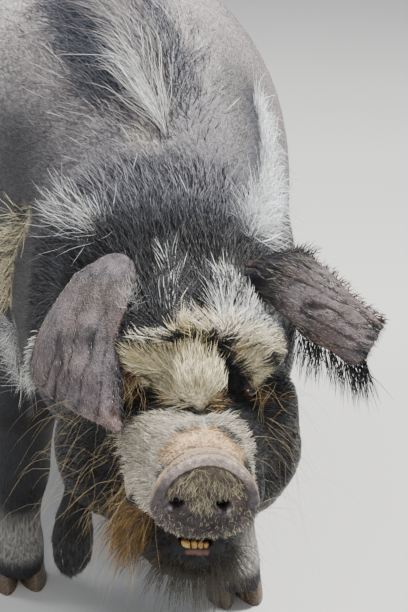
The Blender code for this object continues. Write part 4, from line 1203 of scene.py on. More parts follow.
def raise_skin(nodes, links, shader, height, distance):
    bump = add_node(nodes, "Bump", Distance=distance, Strength=1.0)
    links.new(height, bump.inputs["Height"])
    links.new(bump.outputs[0], shader.inputs["Normal"])


def streaked(nodes, links, colour, streaks, dark, light):
    """A colour made darker and lighter along the streaks."""
    ramp = add_node(nodes, "MapRange", From_Min=0.34, From_Max=0.66, To_Min=dark, To_Max=light)
    mix = add_node(nodes, "VectorMath", "SCALE")
    links.new(streaks, ramp.inputs["Value"])
    links.new(colour, mix.inputs[0])
    links.new(ramp.outputs[0], mix.inputs["Scale"])
    return mix.outputs[0]


def colour_ramp(nodes, links, value, stops):
    """A colour that changes with a value through the stops, each a position and a colour."""
    ramp = add_node(nodes, "ValToRGB")
    while len(ramp.color_ramp.elements) < len(stops):
        ramp.color_ramp.elements.new(0.5)
    for element, (position, colour) in zip(ramp.color_ramp.elements, stops):
        element.position = position
        element.color = (*colour, 1)
    links.new(value, ramp.inputs["Fac"])
    return ramp.outputs[0]


def skin_material(group, name, roughness, dark, light, sizes):
    """Skin in the colour that each vertex keeps, streaked and raised along the short coat."""
    material, nodes, links, shader = new_material(name, Roughness=roughness, Specular_IOR_Level=0.45)
    place = kept_value(nodes, "along_coat", "Vector")
    streaks, height = relief_node(nodes, links, group, place, sizes)
    tint = streaked(nodes, links, kept_value(nodes, "coat_colour", "Color"), streaks, dark, light)
    links.new(tint, shader.inputs["Base Color"])
    raise_skin(nodes, links, shader, height, 0.0016)
    return material


def coat_material(group):
    material, nodes, links, shader = new_material("pig coat", Roughness=0.42, Specular_IOR_Level=0.5)
    place = add_node(nodes, "TexCoord").outputs["Object"]
    streaks, _ = relief_node(nodes, links, group, place, (900.0, 500.0, 1500.0))
    tint = streaked(nodes, links, kept_value(nodes, "coat_colour", "Color"), streaks, 0.75, 1.25)
    links.new(tint, shader.inputs["Base Color"])
    return material


def plain_material(group, name, dark, light, roughness, distance, sizes):
    """A finish in two tones of one colour, with fine relief: horn and teeth."""
    material, nodes, links, shader = new_material(name, Roughness=roughness)
    place = add_node(nodes, "TexCoord").outputs["Object"]
    streaks, height = relief_node(nodes, links, group, place, sizes)
    tone = colour_ramp(nodes, links, streaks, ((0.36, dark), (0.64, light)))
    links.new(tone, shader.inputs["Base Color"])
    raise_skin(nodes, links, shader, height, distance)
    return material


def eye_material():
    """A dark brown iris with a black pupil and a dim white, from each point's angle."""
    material, nodes, links, shader = new_material("eye", Roughness=0.12, Coat_Weight=1.0,
                                                  Coat_Roughness=0.03)
    tone = colour_ramp(nodes, links, kept_value(nodes, "eye_angle", "Fac"), EYE_RINGS)
    links.new(tone, shader.inputs["Base Color"])
    return material


# Pieces beside the skin

def build_snout():
    """The disc: a fleshy rim, a dished face with a furrow, and hollow nostrils."""
    rings = [np.array(ring) for ring in section_rings(SNOUT, *SNOUT_GRID, *SNOUT_SECTION)]
    face = rings[-1]
    centre = np.array((0.0, SNOUT_DISH, face[:, 2].mean()))
    rings += [face + (centre - face) * share for share in np.linspace(0.0, 1.0, DISC_RINGS)[1:-1]]
    snout = mesh_object("snout_disc", lambda m: loft(m, rings, HEAD))
    flat = to_head(points_of(snout.data))
    x, d, z = flat.T
    up = z - DISC_MIDDLE
    rim = step(0.84, 0.94, np.hypot(x / DISC_HALF_WIDTH, up / np.where(up > 0, DISC_OVER, DISC_UNDER)))
    front = 1 - step(0.006, 0.012, d)
    inside = front * (1 - rim)
    upper = step(-0.022, 0.006, z)
    waver = 0.0010 * noise(flat, 0.010, 39)
    fold = np.clip(sum(bell(d + waver, place, RIM_FOLD_WIDTH) for place in RIM_FOLDS), 0, 1) * upper
    push, painted_nostril_shade = snout_relief(flat, rim, front, inside)
    p = flat.copy()
    p[:, 1] += push
    p[:, (0, 2)] *= (1 - RIM_FOLD_DEPTH * fold)[:, None]
    place_points(snout.data, to_world(p))

    # Painted light: the rim's top is lit from above and the rest of the rim lies in painted shade
    painted_light_on_rim = (rim * step(0.004, 0.036, z))[:, None]
    tone = linear("rim") * painted_light_on_rim + linear("rim_in_painted_shade") * (rim[:, None] - painted_light_on_rim)
    shade = 0.68 - 0.16 * step(-0.004, -0.020, z)
    tone = tone + linear("disc") * (shade * (1 - rim))[:, None]
    behind = (step(0.0030, 0.0062, d) * upper)[:, None]
    tone = blend(tone, 0.6 * linear("bare") + 0.3 * linear("rim"), behind)
    # Painted shade in the folds behind the rim
    tone *= (1 - 0.62 * fold)[:, None]
    # Painted wet glints: lighter, greyer patches below and beside the nostrils
    painted_wet_glint = bell(z, -0.014, 0.0045) * bell(np.abs(x + 0.005), 0.024, 0.008)
    painted_wet_glint = (painted_wet_glint * step(-0.3, 0.5, noise(flat, 0.004, 38)) * front)[:, None]
    tone = blend(tone, linear("grizzle"), 0.7 * painted_wet_glint)
    tone *= (1 + 0.30 * noise(flat, 0.010, 34) + 0.25 * noise(flat, 0.0036, 35))[:, None]
    # Painted shade: the nostrils all but black
    colour_hide(snout.data, tone * (1 - 0.93 * painted_nostril_shade * front)[:, None])
    return snout


def snout_relief(flat, rim, front, inside):
    """How far the disc's points sink: a rough rim, a furrow and nostrils; and where the nostrils are, for
    their painted shade.
    """
    x, _, z = flat.T
    roll = np.arctan2(z - DISC_MIDDLE, x)
    push = -0.0024 * rim * front * step(-0.020, 0.020, z)
    push += rim * (0.0009 * np.cos(roll * 31 + 2 * noise(flat, 0.012, 30)) + 0.0010 * noise(flat, 0.006, 31))
    push += inside * (0.0014 * noise(flat, 0.008, 32) + 0.0007 * noise(flat, 0.0034, 33))
    push += inside * 0.0026 * bell(x, -0.004, 0.004) * step(-0.002, 0.020, z)
    painted_nostril_shade = np.zeros(len(flat))
    for away in nostril_distance(flat):
        sunk = NOSTRIL[5] * (1 - step(0.35, 1.05, away)) ** 1.4
        push += inside * (sunk - 0.0020 * bell(away, 1.35, 0.30))
        painted_nostril_shade = np.maximum(painted_nostril_shade, 1 - step(0.60, 1.15, away))
    return push, painted_nostril_shade


def nostril_distance(flat):
    """How far each point is from each nostril, as a share of its radius."""
    middle, x, z, rx, rz, _ = NOSTRIL
    for side in (1, -1):
        across, up = flat[:, 0] - middle - side * x, flat[:, 2] - z
        yield np.hypot((across + side * 0.35 * up) / rx, (up - side * 0.25 * across) / rz)


def colour_hide(mesh, colours):
    """Paints bare skin, and keeps on each vertex a place whose second axis runs along the coat."""
    paint(mesh, colours)
    points = points_of(mesh)
    legs = (1 - step(0.19, 0.28, points[:, 2]))[:, None]
    place = blend(points, points[:, (0, 2, 1)], legs)
    layer = mesh.attributes.new("along_coat", "FLOAT_VECTOR", "POINT")
    layer.data.foreach_set("vector", place.astype(np.float32).ravel())


def ear_rings(inner, outer, across=57, along=80):
    """Closed sections from the root to the tip: the outer face and the cupped face."""
    inner_line = rows_between(inner, along)
    outer_line = rows_between(outer, along)
    upward = (0, -1, 1)
    rings = []
    for i, (a, b) in enumerate(zip(inner_line, outer_line)):
        reach = i / (along - 1)
        ahead = inner_line[min(i + 1, along - 1)] + outer_line[min(i + 1, along - 1)]
        behind = inner_line[max(i - 1, 0)] + outer_line[max(i - 1, 0)]
        out = np.cross(b - a, ahead - behind)
        out /= np.linalg.norm(out)
        if np.dot(out, upward) < 0:
            out = -out
        upward = out
        bulge = EAR_CUP * (1.25 - reach) * min(1.0, np.linalg.norm(b - a) / 0.06)
        thick = EAR_THICKNESS * (1.3 - 0.6 * reach)
        face, back = [], []
        for s in np.linspace(0, 1, across):
            arch = math.sin(math.pi * s) ** 0.8 if 0 < s < 1 else 0.0
            edge = 0.35 + 0.65 * arch
            fold = 0.0012 * math.sin(9 * s + 5 * reach) * arch
            middle = a + (b - a) * s + out * (bulge * arch + fold)
            face.append(middle + out * thick * edge / 2)
            back.append(middle - out * thick * edge / 2)
        rings.append(face + back[::-1])
    return rings


def middle_of(margins, i):
    """The place halfway between an ear's margins, at one of their points."""
    return to_world((np.array(margins[0][i]) + np.array(margins[1][i])) / 2)


def build_ear(name, margins, dark_root):
    """A cupped ear with soft creases in painted shade, browner at its margin and darker at its root."""
    rings = ear_rings(*margins)
    ear = mesh_object(name, lambda m: loft(m, rings, HEAD))
    points = points_of(ear.data)
    inner, outer = (np.min([np.linalg.norm(points - q, axis=1)
                            for q in to_world(rows_between(margin, 40))], axis=0) for margin in margins)
    edge = np.minimum(inner, outer)
    root = middle_of(margins, 0)
    way = middle_of(margins, -1) - root
    along = (points - root) @ unit(way) / np.linalg.norm(way)
    across = (points - root) @ unit(np.cross(way, (0.0, -1.0, 0.4)))
    crease = noise(np.stack([across, along * 0.02, across * 0], 1), 0.009, 43)
    crease = np.abs(crease + 0.35 * noise(points, 0.02, 44))
    streak = noise(np.stack([across, along * 0.045, across * 0], 1), 0.0036, 47)
    relief = 0.0018 * noise(points, 0.022, 45) - 0.0016 * bell(crease, 0, 0.10)
    relief += 0.0010 * bell(inner, 0.017, 0.006) + 0.0005 * streak + 0.0004 * noise(points, 0.0045, 48)
    relief *= step(0.0, 0.006, edge)
    place_points(ear.data, points + normals_of(ear.data) * relief[:, None])

    brown = (1 - step(0.001, 0.008, edge))[:, None] * 0.45
    tone = blend(linear("ear"), linear("ear_edge"), brown)
    # Darker at the left ear's root; the creases darkened as painted shade
    dark = dark_root * (1 - step(0.02, 0.40, along)) + 0.60 * bell(crease, 0, 0.16)
    dark += 0.45 * step(0.10, 0.55, streak) + 0.40 * step(0.15, 0.60, noise(points, 0.016, 49))
    dark += 0.35 * step(0.013, 0.006, inner) * step(0.25, 0.50, along)
    tone = blend(tone, linear("black"), np.clip(dark, 0, 0.9)[:, None])
    tone = tone * (1.22 + 0.30 * noise(points, 0.012, 41) + 0.35 * noise(points, 0.004, 42))[:, None]
    warm = np.clip(0.45 * noise(points, 0.022, 46) + 0.12 * step(0.020, 0.004, edge), 0, 0.45)[:, None]
    tone = blend(tone, linear("ear_edge"), warm)
    colour_hide(ear.data, tone * (1 + 0.50 * step(0.70, 0.98, along))[:, None])
    return ear


def build_wattle(name):
    """A hanging tassel of skin, which swells towards its lower end."""
    x, d, z = WATTLE
    rx, rd, rz = WATTLE_RADII
    rings = [level_ring((x, d, z + rz * 1.35 - t * rz * 2.35), rx * swell, rd * swell, 28, 2.0)
             for t, swell in rows_between(WATTLE_SHAPE, 26)]
    wattle = mesh_object(name, lambda m: loft(m, rings, HEAD))
    points = points_of(wattle.data)
    points += normals_of(wattle.data) * (0.0010 * noise(points, 0.012, 51))[:, None]
    place_points(wattle.data, points)
    colour_hide(wattle.data, linear("black") * 0.6 * (1 + 0.3 * noise(points, 0.01, 52))[:, None])
    return wattle


def build_eye(name, side):
    """The ball of the eye, with a slight bulge over the iris."""
    centre, along, up, out = eye_axes(side)
    eye = mesh_object(name, lambda m: ball(m, (0, 0, 0), (1, 1, 1), BODY, 48))
    points = points_of(eye.data) @ np.array((along, up, out))
    angle = np.arccos(np.clip(points @ out, -1, 1)) / math.pi * 2
    points *= (EYE_RADIUS * (1 + 0.05 * (1 - step(0.30, 0.62, angle))))[:, None]
    place_points(eye.data, to_world(points + centre))
    layer = eye.data.attributes.new("eye_angle", "FLOAT", "POINT")
    layer.data.foreach_set("value", (angle * 0.9).astype(np.float32))
    return eye


def build_teeth():
    """Short amber teeth, worn and a little uneven, the first one the widest."""
    depth, height = TOOTH
    _, d, z = TOOTH_PLACE
    rng = np.random.default_rng(3)

    def fill(mesh):
        start = TOOTH_PLACE[0] - sum(TOOTH_WIDTHS) / 2
        for width in TOOTH_WIDTHS:
            x = start + width / 2
            start += width
            tall = height * (1 + rng.normal(0, 0.07))
            lean = rng.normal(0, 0.0010)
            loft(mesh, [level_ring((x + lean * t, d, z + t * tall), width / 2 * share,
                                   depth / 2 * share, 18, 2.6) for t, share in TOOTH_SHAPE], HEAD)

    return mesh_object("lower_teeth", fill)


def build_claw(name, foot, side):
    """Half of a cloven hoof: a flat sole, a sloping front wall and growth rings."""
    heel = foot[1] + 0.018
    rings = []
    for t, reach, width in rows_between(CLAW_SHAPE, 22):
        t = min(max(t, 0.0), 1.0)
        ripple = 1 + 0.006 * math.sin(t * 40)
        toe = heel - CLAW_LENGTH * reach
        half = CLAW_WIDTH * width / 2 * ripple
        ring = []
        for angle in (2 * math.pi * k / 36 for k in range(36)):
            along = (heel + toe) / 2 + math.cos(angle) * (heel - toe) / 2 * ripple
            taper = 1 - 0.30 * max(0.0, -math.cos(angle)) ** 1.5
            across = side * (CLEFT / 2 + half + math.sin(angle) * half * taper)
            ring.append((foot[0] + across, along, t * HOOF_TOP))
        rings.append(ring)
    return mesh_object(name, lambda m: loft(m, rings))


def build_dewclaws():
    """The two small claws behind each pastern, all in one piece."""
    def fill(mesh):
        for _, _, foot in LEGS.values():
            for side in (1, -1):
                x, y = foot[0] + side * 0.017, foot[1] + 0.020
                rings = []
                for t in np.linspace(0, 1, 12):
                    radius = DEWCLAW_RADIUS * (1 - 0.65 * t ** 1.4) * (1 + 0.02 * math.sin(30 * t))
                    place = (x + side * 0.004 * t, y + 0.014 * t, DEWCLAW_HEIGHT - DEWCLAW_LENGTH * t)
                    rings.append(level_ring(place, radius, radius, 16, 2.0))
                loft(mesh, rings)
    return mesh_object("dewclaws", fill)


# The coat's parts

def on_marks(names, margin=0.35):
    """A weight that is high inside the named markings."""
    def weight(p):
        best = np.zeros(len(p))
        for name, share in to_marks(p, to_head(p)):
            if name in names:
                best = np.maximum(best, share)
        return np.clip(best - margin, 0, 1)
    return weight


def from_eyes(local, low, high, least=0.0):
    """At each point, the least share up to the first distance from an eye, 1 past the second."""
    share = np.ones(len(local))
    for side in (1, -1):
        away = np.linalg.norm(local - on_side(EYE_CENTRE, side), axis=1)
        share *= least + (1 - least) * step(low, high, away)
    return share


def short_coat(skin):
    """Short, flat hair on the trunk and legs, in pieces from the neck to the rump."""
    rng = np.random.default_rng(21)
    for name, front, back, count in COAT_BANDS:
        def weight(p, front=front, back=back):
            inside = (p[:, 1] >= front) & (p[:, 1] < back) & (to_head(p)[:, 1] > TRUNK_COAT_START)
            return inside * (0.35 + 0.65 * step(0.20, 0.34, p[:, 2])) * step(0.035, 0.050, p[:, 2])

        roots, normals = scatter(skin.data, count, weight, rng)
        legs = 1 - step(0.18, 0.26, roots[:, 2])
        neck = 1 - step(-0.25, -0.12, roots[:, 1])
        front_half = 1 - step(-0.10, 0.10, roots[:, 1])
        length = 0.022 - 0.008 * legs - 0.002 * front_half
        width = 0.0017 - 0.0005 * legs - 0.0005 * front_half - 0.0003 * neck
        yield grow(name, roots, normals, lie_of_coat(roots), length, width, 0.06,
                   hair_colour(roots, rng, 0.30), rng, sections=1)

    roots, normals = scatter(skin.data, LEG_TUFTS, lambda p: (p[:, 2] < 0.24) & (p[:, 2] > 0.036), rng)
    yield grow("coat_legs", roots, normals, lie_of_coat(roots), 0.014, 0.0011, 0.08,
               hair_colour(roots, rng), rng, sections=1)


def face_coat(skin, tree):
    """Finer hair on the head, shortest on the muzzle."""
    rng = np.random.default_rng(22)

    def off_bridge(local):
        away = np.linalg.norm((local - (-0.002, 0.034, 0.040)) / (0.032, 0.016, 0.014), axis=1)
        return step(0.5, 1.4, away)

    def front_weight(p):
        local = to_head(p)
        _, d, z = local.T
        keep = (d < FACE_END) & ((d > 0.016) | (z < -0.057)) & ((d > 0.026) | (z < 0.018))
        keep &= np.linalg.norm((local - MOUTH_GAP[0]) / (0.0175, 0.030, 0.0095), axis=1) > 1
        return keep * from_eyes(local, *EYE_CLEAR) * (0.16 + 0.84 * off_bridge(local))

    def back_weight(p):
        local = to_head(p)
        inside = (local[:, 1] >= FACE_END) & (local[:, 1] < HEAD_COAT_END)
        return inside * from_eyes(local, *EYE_CLEAR)

    roots, normals = scatter(skin.data, HEAD_TUFTS, front_weight, rng)
    local = to_head(roots)
    x, d, z = local.T
    brow = on_marks(("cream", "straw", "brow"), 0)(roots) * (1 - step(0.004, 0.016, x) * (z < 0.086))
    length = 0.004 + 0.006 * off_bridge(local) + 0.007 * step(0.06, 0.10, d) + 0.009 * brow
    length += 0.006 * step(0.04, 0.06, -z) + 0.004 * step(0.030, 0.050, -x)
    length *= from_eyes(local, *EYE_SHORT)
    yield grow("coat_face", roots, normals, lie_of_coat(roots), length, 0.00066, 0.11,
               hair_colour(roots, rng, 0.3), rng, tree=tree, spread=0.13, curl=0.10, clump=0.55)

    roots, normals = scatter(skin.data, HEAD_TUFTS, back_weight, rng)
    local = to_head(roots)
    length = (0.018 + 0.012 * step(0.10, 0.13, local[:, 2])) * from_eyes(local, *EYE_SHORT)
    yield grow("coat_head", roots, normals, lie_of_coat(roots), length, 0.0011, 0.12,
               hair_colour(roots, rng, 0.15), rng, tree=tree, spread=0.14)


def long_hair(skin, tree):
    """The crest, the collar, the fans on the forehead, the beard, the whiskers and the tail."""
    rng = np.random.default_rng(23)

    def on_crest(p):
        return bell(p[:, 0], 0, 0.045) > 0.4

    def stripe_weight(p):
        return on_marks(("white",), 0.08)(p) * on_crest(p) * (to_head(p)[:, 1] > 0.24)

    roots, normals = scatter(skin.data, 620, stripe_weight, rng)
    length = 0.030 + 0.065 * rng.random(len(roots)) ** 1.4
    yield grow("hair_crest_white", roots, normals, lie_of_coat(roots), length, 0.00075, 0.26,
               hair_colour(roots, rng) * 1.15, rng, sections=6, tree=tree, curl=0.16, spread=0.17)

    def collar_weight(p):
        marked = on_marks(("collar", "white", "cream"))(p)
        return marked * ~on_crest(p) * (to_head(p)[:, 1] > 0.24)

    roots, normals = scatter(skin.data, 3700, collar_weight, rng)
    rising = 0.5 - 0.9 * step(-0.110, -0.130, roots[:, 0])
    lies = np.stack([0.60 * np.sign(roots[:, 0]), np.full(len(roots), 0.6), rising], 1)
    curly = step(-0.02, 0.04, roots[:, 0])
    length = (0.020 + 0.028 * rng.random(len(roots)) ** 1.5) * (1.15 - 0.30 * curly)
    yield grow("hair_collar", roots, normals, unit(lies), length, 0.00070 + 0.00045 * curly,
               0.34 + 0.06 * curly, hair_colour(roots, rng, 0.85 + 0.60 * curly), rng, sections=6,
               curl=0.18 + 0.10 * curly, bend=0.16 + 1.9 * curly, spread=0.40)

    def crest_weight(p):
        band = bell(p[:, 0], -0.012, 0.042) * step(0.44, 0.50, p[:, 2])
        band *= 0.12 + 0.88 * step(-0.34, -0.27, p[:, 1])
        return band * (1 - step(0.10, 0.30, p[:, 1])) * (to_head(p)[:, 1] > 0.20)

    roots, normals = scatter(skin.data, 5600, crest_weight, rng)
    length = 0.024 + 0.024 * step(-0.33, -0.24, roots[:, 1])
    yield grow("hair_crest_dark", roots, normals, lie_of_coat(roots), length, 0.0008, 0.14,
               hair_colour(roots, rng), rng, sections=3, tree=tree, spread=0.16, curl=0.08)

    def fan_weight(p):
        _, d, z = to_head(p).T
        high = step(0.085, 0.100, z) * (d > 0.108) * (d < 0.235)
        return high * (0.30 + on_marks(("white", "brow"), 0.2)(p))

    roots, normals = scatter(skin.data, 6600, fan_weight, rng)
    length = 0.024 + 0.014 * step(0.125, 0.145, to_head(roots)[:, 1])
    yield grow("hair_forehead", roots, normals, lie_of_coat(roots), length, 0.00075, 0.18,
               hair_colour(roots, rng), rng, sections=3, tree=tree, spread=0.17, curl=0.12)

    def beard_weight(p):
        clear = np.linalg.norm(to_head(p) - MOUTH_GAP[0], axis=1) > 0.024
        return on_marks(("beard", "olive"), 0.1)(p) * clear

    roots, normals = scatter(skin.data, 1500, beard_weight, rng)
    length = 0.022 + 0.026 * rng.random(len(roots))
    gold = on_marks(("beard",), 0.0)(roots) * rng.random(len(roots)) > 0.16
    tone = np.where(gold[:, None], linear("beard"), 0.7 * linear("olive"))
    tone = tone * np.exp(rng.normal(0, 0.4, len(roots)))[:, None]
    yield grow("hair_beard", roots, normals, lie_of_coat(roots), length, 0.0006, 0.42,
               tone, rng, sections=4, curl=0.30, droop=0.60, spread=0.35)

    def whisker_weight(p):
        x, d, z = to_head(p).T
        cheeks = (d > 0.05) * (d < 0.19) * (z < 0.06) * (np.abs(x) > 0.035)
        return cheeks * np.where(x > 0, 0.35, 1.0)

    roots, normals = scatter(skin.data, 240, whisker_weight, rng)
    tone = np.where(rng.random(len(roots))[:, None] < 0.7, linear("whisker"), linear("ochre"))
    length = 0.030 + 0.075 * rng.random(len(roots)) ** 1.5
    yield grow("hair_whiskers", roots, normals, lie_of_coat(roots), length, 0.00042, 0.40,
               tone, rng, sections=6, curl=0.34, droop=0.50, spread=0.60)

    def tail_weight(p):
        return (p[:, 1] > 0.600) * (p[:, 2] < 0.500) * (np.abs(p[:, 0] - 0.01) < 0.04)

    roots, normals = scatter(skin.data, 1500, tail_weight, rng)
    length = 0.024 + 0.040 * step(0.45, 0.395, roots[:, 2])
    down = np.tile((0.0, 0.1, -1.0), (len(roots), 1))
    yield grow("hair_tail", roots, normals, down, length, 0.0009, 0.14,
               hair_colour(roots, rng), rng, sections=4, droop=0.4, curl=0.28, spread=0.20)


def snout_hair(snout):
    """Pale hairs that curl down over the disc from its rim and its middle, short ones below."""
    rng = np.random.default_rng(24)

    def on_disc(p):
        local = to_head(p)
        x, d, z = local.T
        keep = d < 0.009
        for away in nostril_distance(local):
            keep = keep & (away > 1.15)
        out = np.hypot(x / DISC_HALF_WIDTH, (z - DISC_MIDDLE) / 0.0350)
        inner = (out < 0.86) & (step(-0.6, 0.6, noise(local, 0.005, 36)) > 0.45)
        low_rim = (out >= 0.86) & (z < -0.008)
        return keep * (inner * 1.0 + low_rim * 0.8)

    roots, normals = scatter(snout.data, 1750, on_disc, rng)
    local = to_head(roots)
    x, _, z = local.T
    long = np.maximum(step(0.002, 0.014, z), bell(x, -0.002, 0.010) * step(-0.018, -0.006, z))
    lies = np.stack([x * 16 + 0.5 * noise(local, 0.006, 37), np.full(len(x), -0.35),
                     np.full(len(x), -1.0)], 1)
    tone = mixed_tones(rng, len(x), 0.34 + 0.36 * long, linear("cream"), linear("disc") * 1.4, 0.30)
    return grow("hair_snout", roots, normals, unit(lies) @ HEAD_AXES.T, 0.0042 + 0.0085 * long,
                0.00036, 0.50, tone, rng, sections=4, curl=0.75, spread=0.45, sink=0.0004)


def tuft_at(name, centre, spread_by, count, length, lie, tone_name, seed, **how):
    """A loose tuft that grows around one point of the head."""
    rng = np.random.default_rng(seed)
    roots = to_world(np.array(centre) + rng.normal(0, spread_by, (count, 3)))
    out = unit(HEAD_AXES @ np.array((math.copysign(0.4, centre[0]), -0.8, 0.4)))
    normals = np.tile(out, (count, 1))
    lies = np.tile(unit(HEAD_AXES @ np.array(lie)), (count, 1))
    tone = linear(tone_name) * np.exp(rng.normal(0, 0.25, count))[:, None]
    return grow(name, roots, normals, lies, length, 0.00036, 0.15, tone, rng, sections=6, **how)


def coat_on(piece, name, count, length, width, lift, lie, pale, seed, dark_before=None):
    """Short hair on an ear or a tassel, along one direction, with some pale hairs.

    An ear with a dark root gives where that starts and how long the ear is: the hairs there
    are longer and black.
    """
    rng = np.random.default_rng(seed)
    roots, normals = scatter(piece.data, count, lambda p: np.ones(len(p)), rng)
    if dark_before is not None:
        start, reach = dark_before
        along = (roots - start) @ unit(np.array(lie)) / reach
        pale = pale * step(0.05, 0.40, along)
        length = length * (1 + 1.6 * (1 - step(0.10, 0.45, along)))
    lies = unit(np.tile(lie, (count, 1)))
    tone = mixed_tones(rng, count, pale, linear("muzzle"), linear("black") * 1.3, 0.30)
    return grow(name, roots, normals, lies, length, width, lift, tone, rng, sections=1, sink=0.0004)


def ear_fringe(name, margins, which, first, last, count, length, down, tone_names, seed):
    """Longer hairs along part of an ear's margin."""
    rng = np.random.default_rng(seed)
    line = to_world(rows_between(margins[which], 60))
    at = rng.uniform(first, last, count) * (len(line) - 1)
    i = np.minimum(at.astype(int), len(line) - 2)
    roots = blend(line[i], line[i + 1], (at - i)[:, None]) + rng.normal(0, 0.0012, (count, 3))
    middle = to_world((np.array(margins[0]) + np.array(margins[1])).mean(0, keepdims=True) / 2)
    normals = unit(roots - middle + rng.normal(0, 0.01, (count, 3)))
    lies = unit(normals * 0.8 + np.array(down) + rng.normal(0, 0.2, (count, 3)))
    first_tone, second_tone = (linear(tone_name) for tone_name in tone_names)
    tone = np.where(rng.random(count)[:, None] < 0.7, first_tone, second_tone)
    side_out = unit(np.cross(lies, rng.normal(0, 1, (count, 3))))
    return grow(name, roots, side_out, lies, length, 0.0008, 0.05, tone, rng, sections=4,
                droop=0.3, curl=0.10, sink=0.0)


# Room, light and camera

def turned_to(place, back):
    """A placement at a point, looking along -Z with its back in the given direction."""
    return Matrix.Translation(place) @ back.to_track_quat("Z", "Y").to_matrix().to_4x4()


def build_floor():
    material, nodes, links, shader = new_material("studio floor", Roughness=0.75)
    cloud = add_node(nodes, "TexNoise", Scale=1.5)
    links.new(add_node(nodes, "TexCoord").outputs["Object"], cloud.inputs["Vector"])
    tone = colour_ramp(nodes, links, cloud.outputs["Fac"], FLOOR_TONES)
    links.new(tone, shader.inputs["Base Color"])
    floor = mesh_object("floor", lambda m: bmesh.ops.create_grid(
        m, x_segments=2, y_segments=2, size=FLOOR_SIZE))
    floor.data.materials.append(material)


def light_room():
    world = bpy.data.worlds.new("studio")
    bpy.context.scene.world = world
    world.use_nodes = True
    set_inputs(world.node_tree.nodes["Background"], {"Color": SKY_COLOUR, "Strength": SKY_STRENGTH})
    for name, (place, target, size, power, colour) in LIGHTS.items():
        light = bpy.data.lights.new(name, "AREA")
        light.size = size
        light.energy = power
        light.color = colour
        add_object(name, light).matrix_world = turned_to(place, Vector(place) - Vector(target))


def add_camera():
    back = Vector((math.sin(CAMERA_AZIMUTH) * math.cos(CAMERA_PITCH),
                   -math.cos(CAMERA_AZIMUTH) * math.cos(CAMERA_PITCH), math.sin(CAMERA_PITCH)))
    lens = bpy.data.cameras.new("camera")
    lens.sensor_width = SENSOR
    lens.lens = SENSOR * LENS_PIXELS / FRAME_HEIGHT
    camera = add_object("camera", lens)
    camera.matrix_world = turned_to(CAMERA_PLACE, back)
    bpy.context.scene.camera = camera


# Assembly

def finish_piece(obj, material, nodes=()):
    """Gives a piece its material and its body, and hides the solids that it stands for."""
    obj.data.materials.clear()
    obj.data.materials.append(material)
    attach(obj, "root")
    if nodes:
        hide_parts(*nodes)


def dress_pig():
    relief = fine_relief()
    fur = coat_material(relief)
    hide = skin_material(relief, "pig skin", roughness=0.62, dark=0.45, light=1.7,
                         sizes=(420.0, 75.0, 700.0))
    dress_body(hide, fur)
    dress_snout(relief, hide, fur)
    dress_ears(relief, fur)
    dress_loose_hair(fur)
    dress_feet(relief)


def dress_body(hide, fur):
    skin = build_skin()
    colour_hide(skin.data, skin_colour(points_of(skin.data)))
    finish_piece(skin, hide, ("torso", "neck", "head", "tail", *LEGS))
    tree = tree_of(skin.data)
    for pieces in (short_coat(skin), face_coat(skin, tree), long_hair(skin, tree)):
        for piece in pieces:
            finish_piece(piece, fur)


def tree_of(mesh):
    made = bmesh.new()
    made.from_mesh(mesh)
    tree = BVHTree.FromBMesh(made)
    made.free()
    return tree


def dress_snout(relief, hide, fur):
    """The disc with its hair, the teeth, the eyes and the tassel."""
    wet_skin = skin_material(relief, "snout skin", roughness=0.30, dark=0.70, light=1.35,
                             sizes=(500.0, 500.0, 700.0))
    enamel = plain_material(relief, "tooth", dark=(0.17, 0.080, 0.018), light=(0.42, 0.25, 0.075),
                            roughness=0.24, distance=0.0002, sizes=(260.0, 120.0, 600.0))
    snout = build_snout()
    finish_piece(snout, wet_skin, ("snout",))
    finish_piece(snout_hair(snout), fur)
    finish_piece(build_teeth(), enamel)
    eye = eye_material()
    for word, side in (("left", 1), ("right", -1)):
        finish_piece(build_eye(f"eyeball_{word}", side), eye, (f"eye_{word}",))
    wattle = build_wattle("tassel")
    finish_piece(wattle, hide, ("wattle_right",))
    coat = coat_on(wattle, "coat_tassel", count=2600, length=0.011, width=0.0010, lift=0.08,
                   lie=(0, 0.1, -1), pale=0.01, seed=61)
    finish_piece(coat, fur)


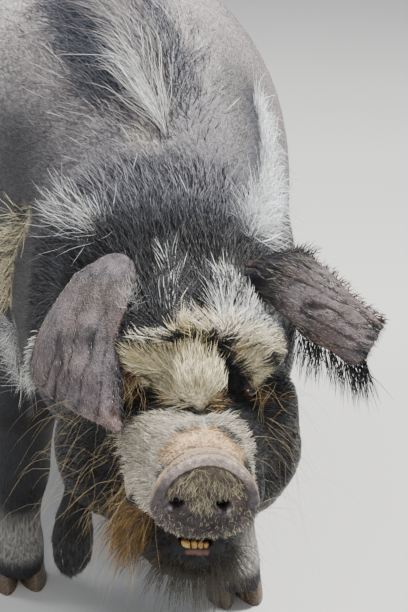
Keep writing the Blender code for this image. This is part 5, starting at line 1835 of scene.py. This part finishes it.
def dress_ears(relief, fur):
    ear_hide = skin_material(relief, "ear skin", roughness=0.55, dark=0.65, light=1.4,
                             sizes=(900.0, 260.0, 700.0))
    for word, (margins, dark_root, seed) in EARS.items():
        ear = build_ear(f"ear_skin_{word}", margins, dark_root)
        finish_piece(ear, ear_hide, (f"ear_{word}",))
        root = middle_of(margins, 0)
        way = middle_of(margins, -1) - root
        dark_before = (root, np.linalg.norm(way)) if dark_root else None
        coat = coat_on(ear, f"coat_ear_{word}", count=8500, length=0.0066, width=0.00042, lift=0.10,
                       lie=way, pale=0.40, seed=seed, dark_before=dark_before)
        finish_piece(coat, fur)
    for i, fringe in enumerate(EAR_FRINGES):
        finish_piece(ear_fringe(*fringe, FRINGE_SEED + i), fur)


def dress_loose_hair(fur):
    """The lashes, the longest whiskers and the tuft at the right ear's root."""
    for name, (side, count) in LASHES.items():
        lash = tuft_at(name, on_side(LASH_ROOT, side), LASH_SPREAD, count, LASH_LENGTH,
                       (side * 0.2, -0.50, -0.9), "whisker", LASH_SEED + side, curl=0.45, spread=0.35)
        finish_piece(lash, fur)
    for i, (place, lie, reach) in enumerate(LONG_WHISKERS):
        whisker = tuft_at(f"hair_whisker_{i + 1}", place, (0.005, 0.002, 0.005), 4, reach, lie,
                          "whisker", WHISKER_SEED + i, curl=0.20, spread=0.16, droop=0.30)
        finish_piece(whisker, fur)
    tuft = tuft_at("hair_ear_right_root", (-0.066, 0.150, 0.116), (0.005, 0.003, 0.011), 60, 0.016,
                   (-0.3, -0.2, 0.9), "white", 91, curl=0.55, spread=0.5)
    finish_piece(tuft, fur)


def dress_feet(relief):
    horn = plain_material(relief, "horn", dark=(0.050, 0.036, 0.026), light=(0.180, 0.130, 0.085),
                          roughness=0.45, distance=0.0006, sizes=(500.0, 60.0, 900.0))
    for name, (_, _, foot) in LEGS.items():
        outer = math.copysign(1, foot[0])
        for word, side in (("outer", outer), ("inner", -outer)):
            claw = build_claw(f"hoof_{name}_{word}", foot, side)
            finish_piece(claw, horn, (f"claw_{name}_{word}",))
    finish_piece(build_dewclaws(), horn)


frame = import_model()
add_camera()
light_room()
build_floor()
dress_pig()
